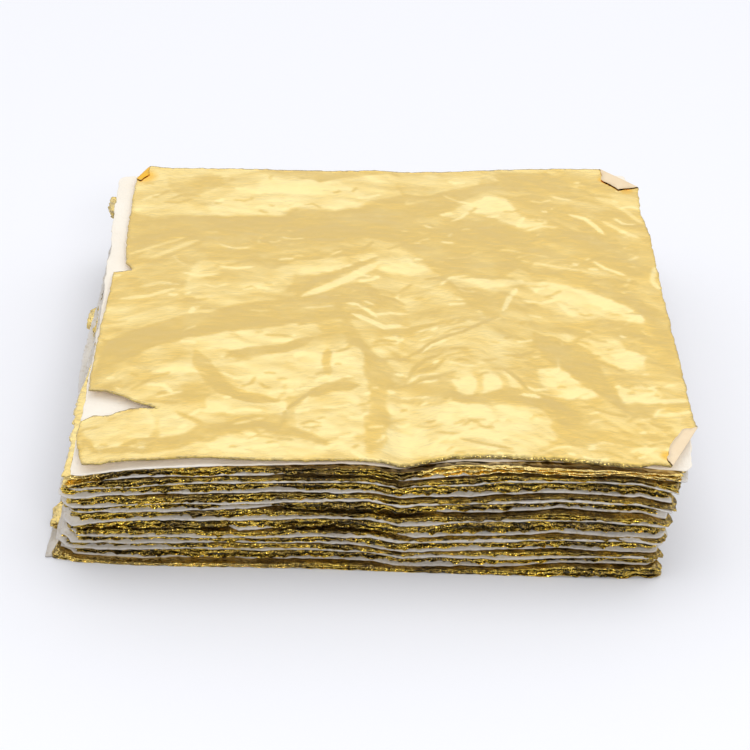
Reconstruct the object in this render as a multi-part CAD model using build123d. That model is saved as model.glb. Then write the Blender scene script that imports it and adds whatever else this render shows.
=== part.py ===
# A loose pack of gold leaf: crinkled square leaves laid one by one between soft paper interleaves.
# Millimetres, +Z up. The origin is the middle of the bottom interleaf's underside.
# The front of the pack, whose edge has the dip near its middle, faces -Y.
from build123d import *
import math
import os

# Driving sizes of a leaf, an interleaf and the pack
leaf_side = 140.0
interleaf_side = 143.0
leaf_thickness = 0.72
interleaf_thickness = 0.98
lay_gap = 0.30
pair_count = 13

# How the pack has settled: it leans to the right going up, and its front edge swells
# beside a dip. Both grow with height, from a bottom that lies flat.
lean = 7.0
depth_stray = 1.8
turn_reach = 1.5
front_swell = 2.3
rear_swell = 0.6
swell_growth = 2

# The edges of the sheets
interleaf_corner_radius = 4.0
interleaf_bow = 0.5
leaf_rag_depth = 1.5
leaf_rag_steps = 7
edge_tab_reach = 5.0
edge_tab_width = 9.0

# The turned-over corners of the top leaf
flap_thickness = 0.35
flap_root = 0.2
flap_tilt = 14.0

# How far cutting bodies run past what they cut
overrun = 5.0

# Worked out from the sizes above
pair_pitch = interleaf_thickness + lay_gap + leaf_thickness + lay_gap
pack_height = pair_count * pair_pitch - lay_gap
leaf_half = leaf_side / 2
interleaf_half = interleaf_side / 2
reach = max(leaf_half, interleaf_half) + lean + edge_tab_reach

# The line across the front edge and across the rear edge:
# place across as a share of the reach, rise as a share of that edge's swell
front_wave_shares = (
    (-1.00, -0.20), (-0.76, 0.00), (-0.58, 0.86), (-0.43, 1.00), (-0.17, 0.84), (0.03, 0.78),
    (0.09, 0.30), (0.13, 0.00), (0.18, 0.30), (0.24, 0.86), (0.38, 1.02), (0.52, 0.78),
    (0.66, 0.34), (0.80, 0.08), (1.00, -0.20),
)
rear_wave_shares = (
    (-1.00, 0.60), (-0.76, 1.00), (-0.58, 0.60), (-0.43, 0.20), (-0.17, 0.05), (0.03, 0.20),
    (0.09, 0.10), (0.13, 0.00), (0.18, 0.05), (0.24, 0.15), (0.38, 0.40), (0.52, 0.60),
    (0.66, 0.80), (0.80, 1.00), (1.00, 0.60),
)

# Where each sheet lies, from the bottom up: across as a share of the lean,
# in depth as a share of the stray, turned as a share of the turn reach
interleaf_place_shares = (
    (0.00, 0.00, -1.00), (0.10, 0.25, -0.80), (-0.04, -0.30, -0.90), (0.12, 0.10, -0.35),
    (0.30, -0.35, -0.60), (0.22, 0.30, -0.10), (0.38, -0.10, -0.45), (0.30, 0.45, 0.10),
    (0.48, -0.40, -0.25), (0.42, 0.20, 0.20), (0.62, -0.20, 0.05), (0.84, 0.35, 0.35),
    (0.90, -0.95, 0.90),
)
leaf_place_shares = (
    (0.04, 0.15, -0.85), (0.08, -0.20, -0.95), (0.02, 0.30, -0.50), (0.24, -0.30, -0.65),
    (0.18, 0.10, -0.20), (0.36, 0.35, -0.40), (0.26, -0.25, 0.05), (0.40, 0.05, -0.30),
    (0.50, -0.35, -0.05), (0.34, 0.25, 0.30), (0.70, -0.15, 0.00), (0.86, -0.50, 0.20),
    (1.00, 0.00, 0.00),
)

# How far each side of an interleaf bows out, in order front, right, rear, left
side_bow_shares = (0.9, 0.4, -0.5, 1.0)
# How deep the ragged edge of a leaf is bitten, point after point
rag_shares = (0.00, 0.55, 0.20, 0.90, 0.35, 0.75, 0.05, 0.60, 1.00, 0.30, 0.80)

# Tabs of torn leaf that stick out past the papers: leaf number, then side in the same order
# as above, then place along that side as a share of the leaf's half side
edge_tabs = ((2, 3, -0.80), (6, 1, -0.72), (9, 3, 0.10), (11, 3, 0.78))

# The outline of the top leaf, as shares of its half side, anticlockwise from the rear left
# corner: a notch and a long tear on the left, and the lines where three corners turn over
top_outline_shares = (
    (-0.977, 0.933), (-1.003, 0.710), (-1.017, 0.476), (-1.014, 0.274), (-0.981, 0.203),
    (-1.013, 0.216), (-1.044, 0.200), (-1.031, -0.199), (-1.010, -0.577), (-0.969, -0.583),
    (-0.863, -0.641), (-0.758, -0.676), (-0.859, -0.690), (-0.953, -0.730), (-1.021, -0.760),
    (-1.030, -0.880), (-1.004, -0.997), (-0.950, -1.006), (-0.760, -1.004), (-0.540, -0.994),
    (-0.300, -1.004), (-0.060, -0.998), (0.035, -0.990), (0.075, -1.004), (0.180, -0.996),
    (0.360, -1.006), (0.560, -0.998), (0.760, -0.990), (0.907, -0.996), (1.014, -0.776),
    (1.011, -0.700), (1.003, -0.170), (0.990, 0.330), (0.999, 0.507), (0.986, 0.880),
    (0.844, 1.011), (0.330, 0.994), (-0.220, 0.990), (-0.620, 1.008), (-0.946, 1.026),
)

# The corners of the top leaf that turn over: the two ends of the fold, then the free
# corners of the flap, as shares of the leaf's half side
top_flap_shares = (
    ((1.014, -0.776), (0.907, -0.996), (0.900, -0.912), (0.941, -0.826)),
    ((0.844, 1.011), (0.986, 0.880), (0.896, 0.880), (0.850, 0.956)),
    ((-0.977, 0.933), (-0.946, 1.026), (-0.905, 0.985), (-0.925, 0.940)),
)


def rise(level, swell):
    """How much a surface that would lie flat at this level is lifted where the wave is full."""
    return swell * (level / pack_height) ** swell_growth


def section(level_low, level_high, along, swell, wave_shares):
    """The upright cut through a settled layer, at one place along the pack's depth."""
    low = [(x * reach, along, level_low + rise(level_low, swell) * z) for x, z in wave_shares]
    high = [(x * reach, along, level_high + rise(level_high, swell) * z) for x, z in wave_shares]
    edges = [
        Spline(*low),
        Line(low[-1], high[-1]),
        Spline(*high[::-1]),
        Line(high[0], low[0]),
    ]
    return Face(Wire(edges))


def layer(level_low, level_high):
    """The whole space between two levels of the settled pack, wider than any sheet."""
    front = section(level_low, level_high, -reach, front_swell, front_wave_shares)
    rear = section(level_low, level_high, reach, rear_swell, rear_wave_shares)
    return loft([front, rear], ruled=True)


def interleaf_outline():
    """A square of paper whose sides bow a little and whose corners are worn round."""
    half = interleaf_half
    corners = [(-half, -half), (half, -half), (half, half), (-half, half)]
    outward = [(0, -1), (1, 0), (0, 1), (-1, 0)]
    sides = []
    for i, bow_share in enumerate(side_bow_shares):
        start, end = corners[i], corners[(i + 1) % 4]
        push = interleaf_bow * bow_share
        middle = [(a + b) / 2 + push * out for a, b, out in zip(start, end, outward[i])]
        sides.append(ThreePointArc(start, tuple(middle), end))
    face = make_face(Curve() + sides)
    return fillet(face.vertices(), interleaf_corner_radius)


def leaf_outline(number):
    """A square of leaf with a ragged edge, each number bitten at other places."""
    points = []
    for side in range(4):
        for step in range(leaf_rag_steps):
            along = leaf_side * step / leaf_rag_steps - leaf_half
            pick = (3 * number + 5 * side + step) % len(rag_shares)
            inset = leaf_half - leaf_rag_depth * rag_shares[pick]
            along = max(-inset, along)
            points.append(Vector(along, -inset).rotate(Axis.Z, 90 * side))
    return Polygon(*[(p.X, p.Y) for p in points], align=None)


def edge_tab(side, place_share):
    """A pointed tab of torn leaf, on the side that it sticks out of."""
    place = leaf_half * place_share * (-1 if side == 3 else 1)
    root = leaf_half - edge_tab_reach
    points = [
        (place - edge_tab_width / 2, -root),
        (place - edge_tab_width / 4, -leaf_half - edge_tab_reach / 2),
        (place, -leaf_half - edge_tab_reach * 0.8),
        (place + edge_tab_width / 4, -leaf_half - edge_tab_reach),
        (place + edge_tab_width / 2, -root),
    ]
    return Rot(0, 0, 90 * side) * Polygon(*points, align=None)


def laid(outline, place, level_low, level_high):
    """A sheet: its outline, put where it lies and cut out of the settled layer."""
    across, depth, turn = place
    spot = Pos(lean * across, depth_stray * depth, 0) * Rot(0, 0, turn_reach * turn)
    bottom = max(0, level_low - overrun)
    height = level_high + front_swell + overrun - bottom
    prism = extrude(Pos(0, 0, bottom) * spot * outline, height)
    below = overrun if level_low == 0 else 0
    return prism & layer(level_low - below, level_high)


def flap(shares, level):
    """One turned-over corner, standing up from its fold at a low angle."""
    start, end, *free = [Vector(x * leaf_half, y * leaf_half) for x, y in shares]
    along = (end - start).normalized()
    inward = Vector(0, 0, 1).cross(along)
    if inward.dot(free[0] - start) < 0:
        inward = inward * -1
    tilt = math.radians(flap_tilt)
    up_slope = inward * math.cos(tilt) + Vector(0, 0, math.sin(tilt))
    normal = along.cross(up_slope)
    if normal.Z < 0:
        normal = normal * -1
    origin = start + Vector(0, 0, level - flap_root)
    plane = Plane(origin=origin, x_dir=along, z_dir=normal)
    sign = 1 if plane.y_dir.dot(up_slope) > 0 else -1
    corners = [start, end, *free]
    points = [((c - start).dot(along), sign * abs((c - start).dot(inward))) for c in corners]
    return extrude(plane * Polygon(*points, align=None), flap_thickness)


def wave_height(across, along, level):
    """The height of a settled level above one spot, read between the two edge lines."""
    heights = []
    for swell, wave_shares in ((front_swell, front_wave_shares), (rear_swell, rear_wave_shares)):
        for (x0, z0), (x1, z1) in zip(wave_shares, wave_shares[1:]):
            if x0 * reach <= across <= x1 * reach:
                share = (across / reach - x0) / (x1 - x0)
                heights.append(level + rise(level, swell) * (z0 + (z1 - z0) * share))
    back_share = (along + reach) / (2 * reach)
    return heights[0] + (heights[-1] - heights[0]) * back_share


def make_interleaf(number):
    level = (number - 1) * pair_pitch
    place = interleaf_place_shares[(number - 1) % len(interleaf_place_shares)]
    return laid(interleaf_outline(), place, level, level + interleaf_thickness)


def make_leaf(number):
    level = (number - 1) * pair_pitch + interleaf_thickness + lay_gap
    place = leaf_place_shares[(number - 1) % len(leaf_place_shares)]
    outline = leaf_outline(number)
    for leaf_number, side, place_share in edge_tabs:
        if leaf_number == number:
            outline = outline + edge_tab(side, place_share)
    return laid(outline, place, level, level + leaf_thickness)


def make_top_leaf():
    level = pack_height - leaf_thickness
    points = [(x * leaf_half, y * leaf_half) for x, y in top_outline_shares]
    outline = Polygon(*points, align=None)
    leaf = laid(outline, leaf_place_shares[-1], level, pack_height)
    for shares in top_flap_shares:
        x, y = shares[0][0] * leaf_half, shares[0][1] * leaf_half
        surface = wave_height(lean + x, y, pack_height)
        leaf = leaf + Pos(lean, 0, 0) * flap(shares, surface)
    return leaf


def write(name, shape):
    export_step(shape, f"parts/{name}.step")
    box = shape.bounding_box()
    print(name, len(shape.solids()), round(shape.volume), "mm3, top at", round(box.max.Z, 2))


os.makedirs("parts", exist_ok=True)
for number in range(1, pair_count + 1):
    write(f"interleaf_{number:02d}", make_interleaf(number))
    leaf = make_top_leaf() if number == pair_count else make_leaf(number)
    write(f"gold_leaf_{number:02d}", leaf)
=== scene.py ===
# %% [markdown]
# # A loose pack of gold leaf
# The pack is a pile of soft square papers with one crinkled leaf of gold on each. Every sheet is its own
# piece, because a gilder lifts them off one by one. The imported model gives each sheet's size, place and
# the way it has settled, and this lesson dresses those sheets: soft paper edges, crumpled gold rims and
# the top leaf with its folds, torn edge and turned corners.

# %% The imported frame
import math
import bpy
import numpy as np
from mathutils import Matrix, Vector
from mathutils.bvhtree import BVHTree
from mathutils.geometry import delaunay_2d_cdt
from mathutils.kdtree import KDTree


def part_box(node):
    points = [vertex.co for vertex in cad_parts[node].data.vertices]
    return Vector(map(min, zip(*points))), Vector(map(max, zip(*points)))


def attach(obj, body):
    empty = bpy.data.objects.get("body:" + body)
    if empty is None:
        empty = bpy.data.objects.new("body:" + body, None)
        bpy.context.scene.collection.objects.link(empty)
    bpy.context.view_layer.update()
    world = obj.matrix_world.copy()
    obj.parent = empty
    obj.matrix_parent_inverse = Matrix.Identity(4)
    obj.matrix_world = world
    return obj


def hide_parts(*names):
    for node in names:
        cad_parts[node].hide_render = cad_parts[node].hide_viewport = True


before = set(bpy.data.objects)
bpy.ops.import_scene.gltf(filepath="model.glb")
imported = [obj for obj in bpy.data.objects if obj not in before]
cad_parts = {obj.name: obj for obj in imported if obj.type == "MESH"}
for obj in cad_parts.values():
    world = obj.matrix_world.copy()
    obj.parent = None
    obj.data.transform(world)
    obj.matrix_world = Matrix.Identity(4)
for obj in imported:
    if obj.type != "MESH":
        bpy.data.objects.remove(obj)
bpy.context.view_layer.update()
pair_count = sum(name.startswith("interleaf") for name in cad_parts)
print("sheets:", len(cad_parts), "pairs:", pair_count)

# %% [markdown]
# ## Units and the eye
# The sheets are worked out in millimetres and turned to metres only when a mesh or lamp is made. The
# camera is a long lens that looks down at about a third of a right angle, as in the picture. Its place
# came from the four corners of the top leaf, taken as a square of 140 mm, and the pack's lower edge.

# %% The camera
millimetre = 0.001
picture_side = 750
sensor_side = 36.0
lens_length = 101.757
camera_place = (2.139, -455.118, 307.820)
camera_pitch = 33.384
camera_yaw = 0.2344
camera_roll = 0.5462


def camera_axes():
    """The camera's right, up and forward directions."""
    pitch, yaw, roll = (math.radians(a) for a in (camera_pitch, camera_yaw, camera_roll))
    ahead = Vector((math.sin(yaw) * math.cos(pitch), math.cos(yaw) * math.cos(pitch), -math.sin(pitch)))
    level_right = Vector((math.cos(yaw), -math.sin(yaw), 0))
    level_up = level_right.cross(ahead)
    right = math.cos(roll) * level_right + math.sin(roll) * level_up
    up = math.cos(roll) * level_up - math.sin(roll) * level_right
    return right, up, ahead


right, up, ahead = camera_axes()
eye = bpy.data.cameras.new("eye")
eye.lens = lens_length
eye.sensor_width = sensor_side
eye.clip_start = 0.01
eye_object = bpy.data.objects.new("eye", eye)
turned = Matrix((right, up, -ahead)).transposed().to_4x4()
eye_object.matrix_world = Matrix.Translation(Vector(camera_place) * millimetre) @ turned
bpy.context.scene.collection.objects.link(eye_object)
bpy.context.scene.camera = eye_object
bpy.context.scene.view_settings.view_transform = "Standard"
print("the eye looks down by", camera_pitch, "degrees")

# %% [markdown]
# ## From a spot in the picture to a spot on the pack
# Torn edges and folds have no formula, so their spots are read off the picture, in its own
# pixels. A spot is carried to the pack along the ray from the eye to the level that it lies on.

# %% Rays to a level
pixels_per_slope = lens_length / sensor_side * picture_side


def ray_through(pixel):
    """The way from the eye through a pixel."""
    x = (pixel[0] - picture_side / 2) / pixels_per_slope
    y = (picture_side / 2 - pixel[1]) / pixels_per_slope
    return ahead + x * right + y * up


def on_level(pixel, level):
    """The place, in millimetres, where the ray through a pixel meets a level plane."""
    ray = ray_through(pixel)
    return Vector(camera_place) + ray * (level - camera_place[2]) / ray.z


def on_front(pixel, front):
    """The place where the ray through a pixel meets an upright plane along the pack's front."""
    ray = ray_through(pixel)
    return Vector(camera_place) + ray * (front - camera_place[1]) / ray.y


print("picture's middle on the table:", [round(v, 1) for v in on_level((375, 375), 0)])

# %% [markdown]
# ## Light
# Leaf is a mirror with a satin skin, so what it shows is its surroundings. The room has a bright ceiling
# over plainer walls: slopes that lean to the eye mirror the ceiling and shine, ones that lean away mirror
# the wall behind the pack and stay tan. The room is dimmer on the eye's side, which gives the gold edges
# at the front their dark crevices. The eye itself sees white.

# %% The room
room_bright = 0.93
room_dim = 0.22
dim_towards = -0.85
bright_towards = 0.30
ceiling_from = 28.0
ceiling_full = 36.0
ceiling_gain = 0.36


def add(tree, kind, **values):
    """A new node of that kind, with the values of its inputs by name."""
    made = tree.nodes.new("ShaderNode" + kind)
    for name, value in values.items():
        made.inputs[name.replace("_", " ")].default_value = value
    return made


def light_room():
    """A world that the eye sees as white, with a bright ceiling, and dimmer on the eye's side."""
    room = bpy.data.worlds.new("room")
    bpy.context.scene.world = room
    room.use_nodes = True
    tree = room.node_tree
    tree.nodes.clear()
    way = add(tree, "TexCoord")
    parts = add(tree, "SeparateXYZ")
    depth = add(
        tree, "MapRange", From_Min=dim_towards, From_Max=bright_towards, To_Min=room_dim, To_Max=room_bright,
    )
    depth.interpolation_type = "SMOOTHSTEP"
    low, full = (math.sin(math.radians(a)) for a in (ceiling_from, ceiling_full))
    ceiling = add(tree, "MapRange", From_Min=low, From_Max=full, To_Min=1.0, To_Max=1 + ceiling_gain)
    ceiling.interpolation_type = "SMOOTHSTEP"
    both = add(tree, "Math")
    both.operation = "MULTIPLY"
    seen = add(tree, "LightPath")
    strength = add(tree, "Mix", B=1.0)
    background = add(tree, "Background", Color=(1, 1, 1, 1))
    output = add(tree, "OutputWorld")
    tree.links.new(way.outputs["Generated"], parts.inputs["Vector"])
    tree.links.new(parts.outputs["Y"], depth.inputs["Value"])
    tree.links.new(seen.outputs["Is Camera Ray"], strength.inputs["Factor"])
    tree.links.new(parts.outputs["Z"], ceiling.inputs["Value"])
    tree.links.new(depth.outputs["Result"], both.inputs[0])
    tree.links.new(ceiling.outputs["Result"], both.inputs[1])
    tree.links.new(both.outputs["Value"], strength.inputs["A"])
    tree.links.new(strength.outputs["Result"], background.inputs["Strength"])
    tree.links.new(background.outputs["Background"], output.inputs["Surface"])


light_room()
print("room light runs from", room_dim, "to", room_bright)

# %% [markdown]
# One lamp on the eye's side picks out single facets of the crushed gold rims. It stands far off and
# high, because a lower one would be mirrored all over the top leaf for an eye behind the pack.

# %% The lamp
sparkle_brightness = 10.0
sparkle_place = (300, -1650, 1180)
sparkle_aim = (0, 0, 20)
sparkle_wide = 1200
sparkle_high = 420


def soft_lamp(name, place, aim, wide, high, brightness):
    """A flat lamp of that size that looks from place to aim, both in millimetres."""
    lamp = bpy.data.lights.new(name, "AREA")
    lamp.shape = "RECTANGLE"
    lamp.size = wide * millimetre
    lamp.size_y = high * millimetre
    lamp.energy = brightness * math.pi * lamp.size * lamp.size_y
    holder = bpy.data.objects.new(name, lamp)
    way = Vector(aim) - Vector(place)
    turn = way.to_track_quat("-Z", "Y").to_matrix().to_4x4()
    holder.matrix_world = Matrix.Translation(Vector(place) * millimetre) @ turn
    holder.visible_camera = False
    bpy.context.scene.collection.objects.link(holder)
    return holder


soft_lamp("sparkle_lamp", sparkle_place, sparkle_aim, sparkle_wide, sparkle_high, sparkle_brightness)
print("lamp of", sparkle_wide, "by", sparkle_high, "mm")

# %% [markdown]
# ## The table
# A plain pale table carries the pack and takes its soft shadow. To the eye it glows a little, as a lit
# studio table does, without putting more light on the pack. The glow fades close to the pack, where less
# light reaches the table.

# %% The table
table_side = 8000.0
table_white = (0.655, 0.661, 0.692, 1)
table_glow = (0.264, 0.267, 0.285, 1)
glow_reach = 20.0


def sums(tree, operation, first, second):
    """A maths node on two sockets or numbers."""
    made = add(tree, "Math")
    made.operation = operation
    for socket, value in zip(made.inputs, (first, second)):
        if isinstance(value, (int, float)):
            socket.default_value = value
        else:
            tree.links.new(value, socket)
    return made.outputs["Value"]


def make_table():
    """A flat table far wider than the view."""
    half = table_side / 2 * millimetre
    mesh = bpy.data.meshes.new("table")
    corners = [(-half, -half, 0), (half, -half, 0), (half, half, 0), (-half, half, 0)]
    mesh.from_pydata(corners, [], [(0, 1, 2, 3)])
    white = bpy.data.materials.new("white table")
    white.use_nodes = True
    tree = white.node_tree
    tree.nodes.clear()
    cloth = add(tree, "BsdfDiffuse", Color=table_white)
    glow = add(tree, "Emission", Color=table_glow)
    seen = add(tree, "LightPath")
    both = add(tree, "AddShader")
    output = add(tree, "OutputMaterial")
    shown = sums(tree, "MAXIMUM", seen.outputs["Is Camera Ray"], seen.outputs["Is Glossy Ray"])
    open_above = add(tree, "AmbientOcclusion", Distance=glow_reach * millimetre)
    tree.links.new(sums(tree, "MULTIPLY", shown, open_above.outputs["AO"]), glow.inputs["Strength"])
    tree.links.new(cloth.outputs["BSDF"], both.inputs[0])
    tree.links.new(glow.outputs["Emission"], both.inputs[1])
    tree.links.new(both.outputs["Shader"], output.inputs["Surface"])
    mesh.materials.append(white)
    table = bpy.data.objects.new("table", mesh)
    bpy.context.scene.collection.objects.link(table)


make_table()

# %% [markdown]
# ## Chance that comes out the same each time
# No two edges of the pack are alike, so shapes come from seeded noise. Soft noise has round bumps, for
# paper. Creased noise has flat facets that meet in sharp lines, as crushed leaf does: each cell of a
# lattice is cut into two triangles, and the lattice itself is bent so that its lines don't show. Most
# edges need several noises of different sizes, so a table of them can be added up.

# %% Noise
lattice_shape = (97, 89)
facet_wander = 0.38
wander_size = 1.3


def cell(x, y, size, seed):
    """The random values at the corners of each point's cell, and the point's place in that cell."""
    values = np.random.default_rng(seed).uniform(-1, 1, lattice_shape)
    column = x / size + lattice_shape[0] / 2
    row = y / size + lattice_shape[1] / 2
    i = np.floor(column).astype(int)
    j = np.floor(row).astype(int)
    corners = [
        values[(i + a) % lattice_shape[0], (j + b) % lattice_shape[1]] for b in (0, 1) for a in (0, 1)
    ]
    return corners, column - i, row - j


def soft_noise(x, y, size, seed):
    """Round bumps between -1 and 1, each about size wide."""
    (a, b, c, d), u, v = cell(x, y, size, seed)
    u = u * u * (3 - 2 * u)
    v = v * v * (3 - 2 * v)
    return (a * (1 - u) + b * u) * (1 - v) + (c * (1 - u) + d * u) * v


def creased_noise(x, y, size, seed, turn=0.0):
    """Flat facets between -1 and 1, each about size wide, that meet in sharp creases."""
    across = x * math.cos(turn) - y * math.sin(turn)
    along = x * math.sin(turn) + y * math.cos(turn)
    across = across + facet_wander * size * soft_noise(x, y, size * wander_size, seed + 1)
    along = along + facet_wander * size * soft_noise(x, y, size * wander_size, seed + 2)
    (a, b, c, d), u, v = cell(across, along, size, seed)
    lower = a + (b - a) * u + (c - a) * v
    upper = d + (c - d) * (1 - u) + (b - d) * (1 - v)
    return np.where(u + v < 1, lower, upper)


def noise_sum(terms, x, y, seed, total=0):
    """A total with noises added, each of a kind, height, size, seed and, if creased, maybe a turn."""
    for noise, height, size, own_seed, *turn in terms:
        total = total + height * noise(x, y, size, seed + own_seed, *turn)
    return total


spots = np.linspace(-70, 70, 9)
print("soft noise along a line:", np.round(soft_noise(spots, spots, 20, 1), 2))

# %% [markdown]
# ## Reading a sheet's place from the frame
# A dressed sheet has to lie where its plain sheet lies. Its middle and turn come from the four points of
# the plain sheet that reach furthest along the diagonals. The height of its underside is felt with rays
# from below along two lines, near the front and near the rear, because the pile's wave is straight
# between its front and its rear edge.

# %% Where a sheet lies
probe_step = 2.0
probe_inset = 12.0
diagonals = ((-1, -1), (1, -1), (1, 1), (-1, 1))


def paper_name(number):
    """The name of a paper, counted from the bottom."""
    return f"interleaf_{number:02d}"


def leaf_name(number):
    """The name of a leaf, counted from the bottom."""
    return f"gold_leaf_{number:02d}"


def lie_of(name):
    """A sheet's middle and turn, in millimetres and radians."""
    points = np.array([v.co[:2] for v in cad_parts[name].data.vertices]) / millimetre
    corners = np.array([points[np.argmax(points @ np.array(way))] for way in diagonals])
    middle = corners.mean(axis=0)
    spokes = corners - middle
    square = np.array(diagonals)
    turn = np.arctan2(spokes[:, 1], spokes[:, 0]) - np.arctan2(square[:, 1], square[:, 0])
    return middle, float(turn.mean())


def underside(name):
    """A function that gives the height of a plain sheet's underside at any place."""
    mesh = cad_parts[name].data
    tree = BVHTree.FromPolygons([v.co for v in mesh.vertices], [p.vertices for p in mesh.polygons])
    low, high = (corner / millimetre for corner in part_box(name))
    lines = []
    for y in (low.y + probe_inset, high.y - probe_inset):
        hits = []
        for x in np.arange(low.x, high.x, probe_step):
            hit = tree.ray_cast(Vector((x, y, -1)) * millimetre, Vector((0, 0, 1)))[0]
            if hit:
                hits.append((x, hit.z / millimetre))
        lines.append((y, *np.array(hits).T))
    (front, front_x, front_z), (rear, rear_x, rear_z) = lines

    def height(x, y):
        near = np.interp(x, front_x, front_z)
        far = np.interp(x, rear_x, rear_z)
        return near + (far - near) * (y - front) / (rear - front)

    return height


lies = {name: lie_of(name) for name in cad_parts}
floors = {name: underside(name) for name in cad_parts}
print("top leaf lies at", lies[leaf_name(pair_count)])

# %% [markdown]
# ## A sheet as a shell
# Paper and leaf are thin, but each is still a closed shell with a top, an underside and a rim, so that it
# could be cut, weighed or printed. Dense rows of points follow the rim, where all the detail is, and a
# plain net of triangles fills the middle. A grid of squares would be simpler, but it can't follow a torn
# outline.

# %% Rims and fillings
quarter_turn = math.pi / 2
net_shake = 0.2
net_clear = 0.6
extra_clear = 0.25
merge_share = 1e-4


def square_rim(half, corner, steps):
    """Points round a square with round corners, anticlockwise from the front left.

    The steps between points are those of the front, the right, the rear and the left side."""
    straight = 2 * (half - corner)
    side = straight + corner * quarter_turn
    travel = np.concatenate([k * side + np.arange(0, side - step / 2, step) for k, step in enumerate(steps)])
    number, rest = np.divmod(travel, side)
    bend = np.maximum(0, rest - straight) / corner
    x = np.minimum(rest, straight) - straight / 2 + corner * np.sin(bend)
    y = -half + corner * (1 - np.cos(bend))
    turn = number * quarter_turn
    return np.stack([x * np.cos(turn) - y * np.sin(turn), x * np.sin(turn) + y * np.cos(turn)], axis=1)


def nearest_on(loop):
    """A tree that finds the point of a loop that is nearest to a place."""
    tree = KDTree(len(loop))
    for i, (a, b) in enumerate(loop.tolist()):
        tree.insert((a, b, 0), i)
    tree.balance()
    return tree


def net(loop, spacing, seed, extra=()):
    """Points spread evenly inside a closed loop, and the triangles between them and the loop.

    Extra points are added where a net has to be finer."""
    low, high = loop.min(axis=0), loop.max(axis=0)
    x, y = np.meshgrid(*(np.arange(a, b, spacing) for a, b in zip(low, high)))
    x = x + spacing / 2 * (np.arange(len(x)) % 2)[:, None]
    shake = np.random.default_rng(seed).uniform(-net_shake, net_shake, (x.size, 2)) * spacing
    points = np.stack([x.ravel(), y.ravel()], axis=1) + shake
    near = nearest_on(loop)
    points = [p for p in points.tolist() if near.find((*p, 0))[2] > spacing * net_clear]
    points += [p for p in extra if near.find((*p, 0))[2] > extra_clear]
    start = len(loop)
    edges = [(i, (i + 1) % start) for i in range(start)]
    every = [Vector(p) for p in loop.tolist() + points]
    placed, _, faces, *_ = delaunay_2d_cdt(every, edges, [], 1, spacing * merge_share)
    used = np.unique(np.array(faces))
    used = np.union1d(used, np.arange(start))
    renumber = np.full(len(placed), -1)
    renumber[used] = np.arange(len(used))
    return np.array([placed[i][:] for i in used]), renumber[np.array(faces)]


def band(rows, count):
    """The triangles between neighbouring rows of count points, the first row outermost."""
    here = np.arange(count)
    after = (here + 1) % count
    faces = []
    for row in range(rows - 1):
        outer, inner = row * count, (row + 1) * count
        faces.append(np.stack([outer + here, outer + after, inner + after], axis=1))
        faces.append(np.stack([outer + here, inner + after, inner + here], axis=1))
    return np.concatenate(faces)


def up_of(points, faces):
    """The smooth upward direction at each point of a sheet."""
    a, b, c = (points[faces[:, k]] for k in range(3))
    flat = np.cross(b - a, c - a)
    total = np.stack([
        sum(np.bincount(faces[:, k], flat[:, axis], len(points)) for k in range(3)) for axis in range(3)
    ], axis=1)
    return total / np.maximum(np.linalg.norm(total, axis=1, keepdims=True), 1e-9)


print("points round a leaf:", len(square_rim(70, 2, (0.3, 0.4, 0.8, 0.4))))

# %% [markdown]
# A wall of triangles joins a sheet's two sides round its rim. Numbers such as wear are kept on the points
# of the mesh under a plain name, so one finish can look different on every sheet and at every place. No
# point may lie under the table.

# %% The shell
def shell(name, top, bottom, top_faces, bottom_faces, rim_count, materials, values):
    """A closed sheet. The first rim_count points of top and of bottom go round its rim alike.

    The values are named numbers for each point, kept on the mesh for the finishes to read."""
    here = np.arange(rim_count)
    after = (here + 1) % rim_count
    start = len(top)
    wall = np.concatenate([
        np.stack([start + here, start + after, after], axis=1),
        np.stack([start + here, after, here], axis=1),
    ])
    points = np.concatenate([top, bottom])
    points[:, 2] = np.maximum(points[:, 2], 0)
    faces = np.concatenate([top_faces, bottom_faces[:, ::-1] + start, wall])
    mesh = bpy.data.meshes.new(name)
    mesh.from_pydata((points * millimetre).tolist(), [], faces.tolist())
    for material in materials:
        mesh.materials.append(material)
    if len(materials) > 1:
        kind = np.zeros(len(faces), np.int32)
        kind[len(top_faces):] = 1
        mesh.polygons.foreach_set("material_index", kind)
    mesh.shade_smooth()
    for label, numbers in values.items():
        mesh.attributes.new(label, "FLOAT", "POINT").data.foreach_set("value", numbers.astype(np.float32))
    sheet = bpy.data.objects.new(name, mesh)
    bpy.context.scene.collection.objects.link(sheet)
    return sheet


def put(points, middle, turn):
    """Flat points turned and moved to where a sheet lies."""
    x, y = points.T
    return np.stack([
        middle[0] + x * math.cos(turn) - y * math.sin(turn),
        middle[1] + x * math.sin(turn) + y * math.cos(turn),
    ], axis=1)


print("a square's front left corner, turned:", np.round(put(np.array([[-70.0, -70.0]]), (0, 0), 0.01), 1))

# %% [markdown]
# ## Finish: fine crinkles, cloudy tone and rims worn and darkened with painted shade
# Effects that serve more than one finish are node groups. The crinkle group gives a height of tiny
# folds, the cloud group a slow change between 0 and 1, the fleck group turns a sheet's own rim value
# into a broken mask for wear and painted shade, and the facet group gives the height of leaf that has been
# crushed.

# %% Node groups
crinkle_stretch = (0.45, 1.0, 1.0)
fold_scale = 480
cell_scale = 520.0
grain_scale = 1800
fold_share = -3.0
cell_share = 0.3
grain_share = 0.45
cloud_edges = (0.3, 0.7)
fleck_scale = 900
fleck_edges = (0.53, 0.62)
facet_scales = ((1000.0, 1.0), (2400.0, 0.5))


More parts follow.
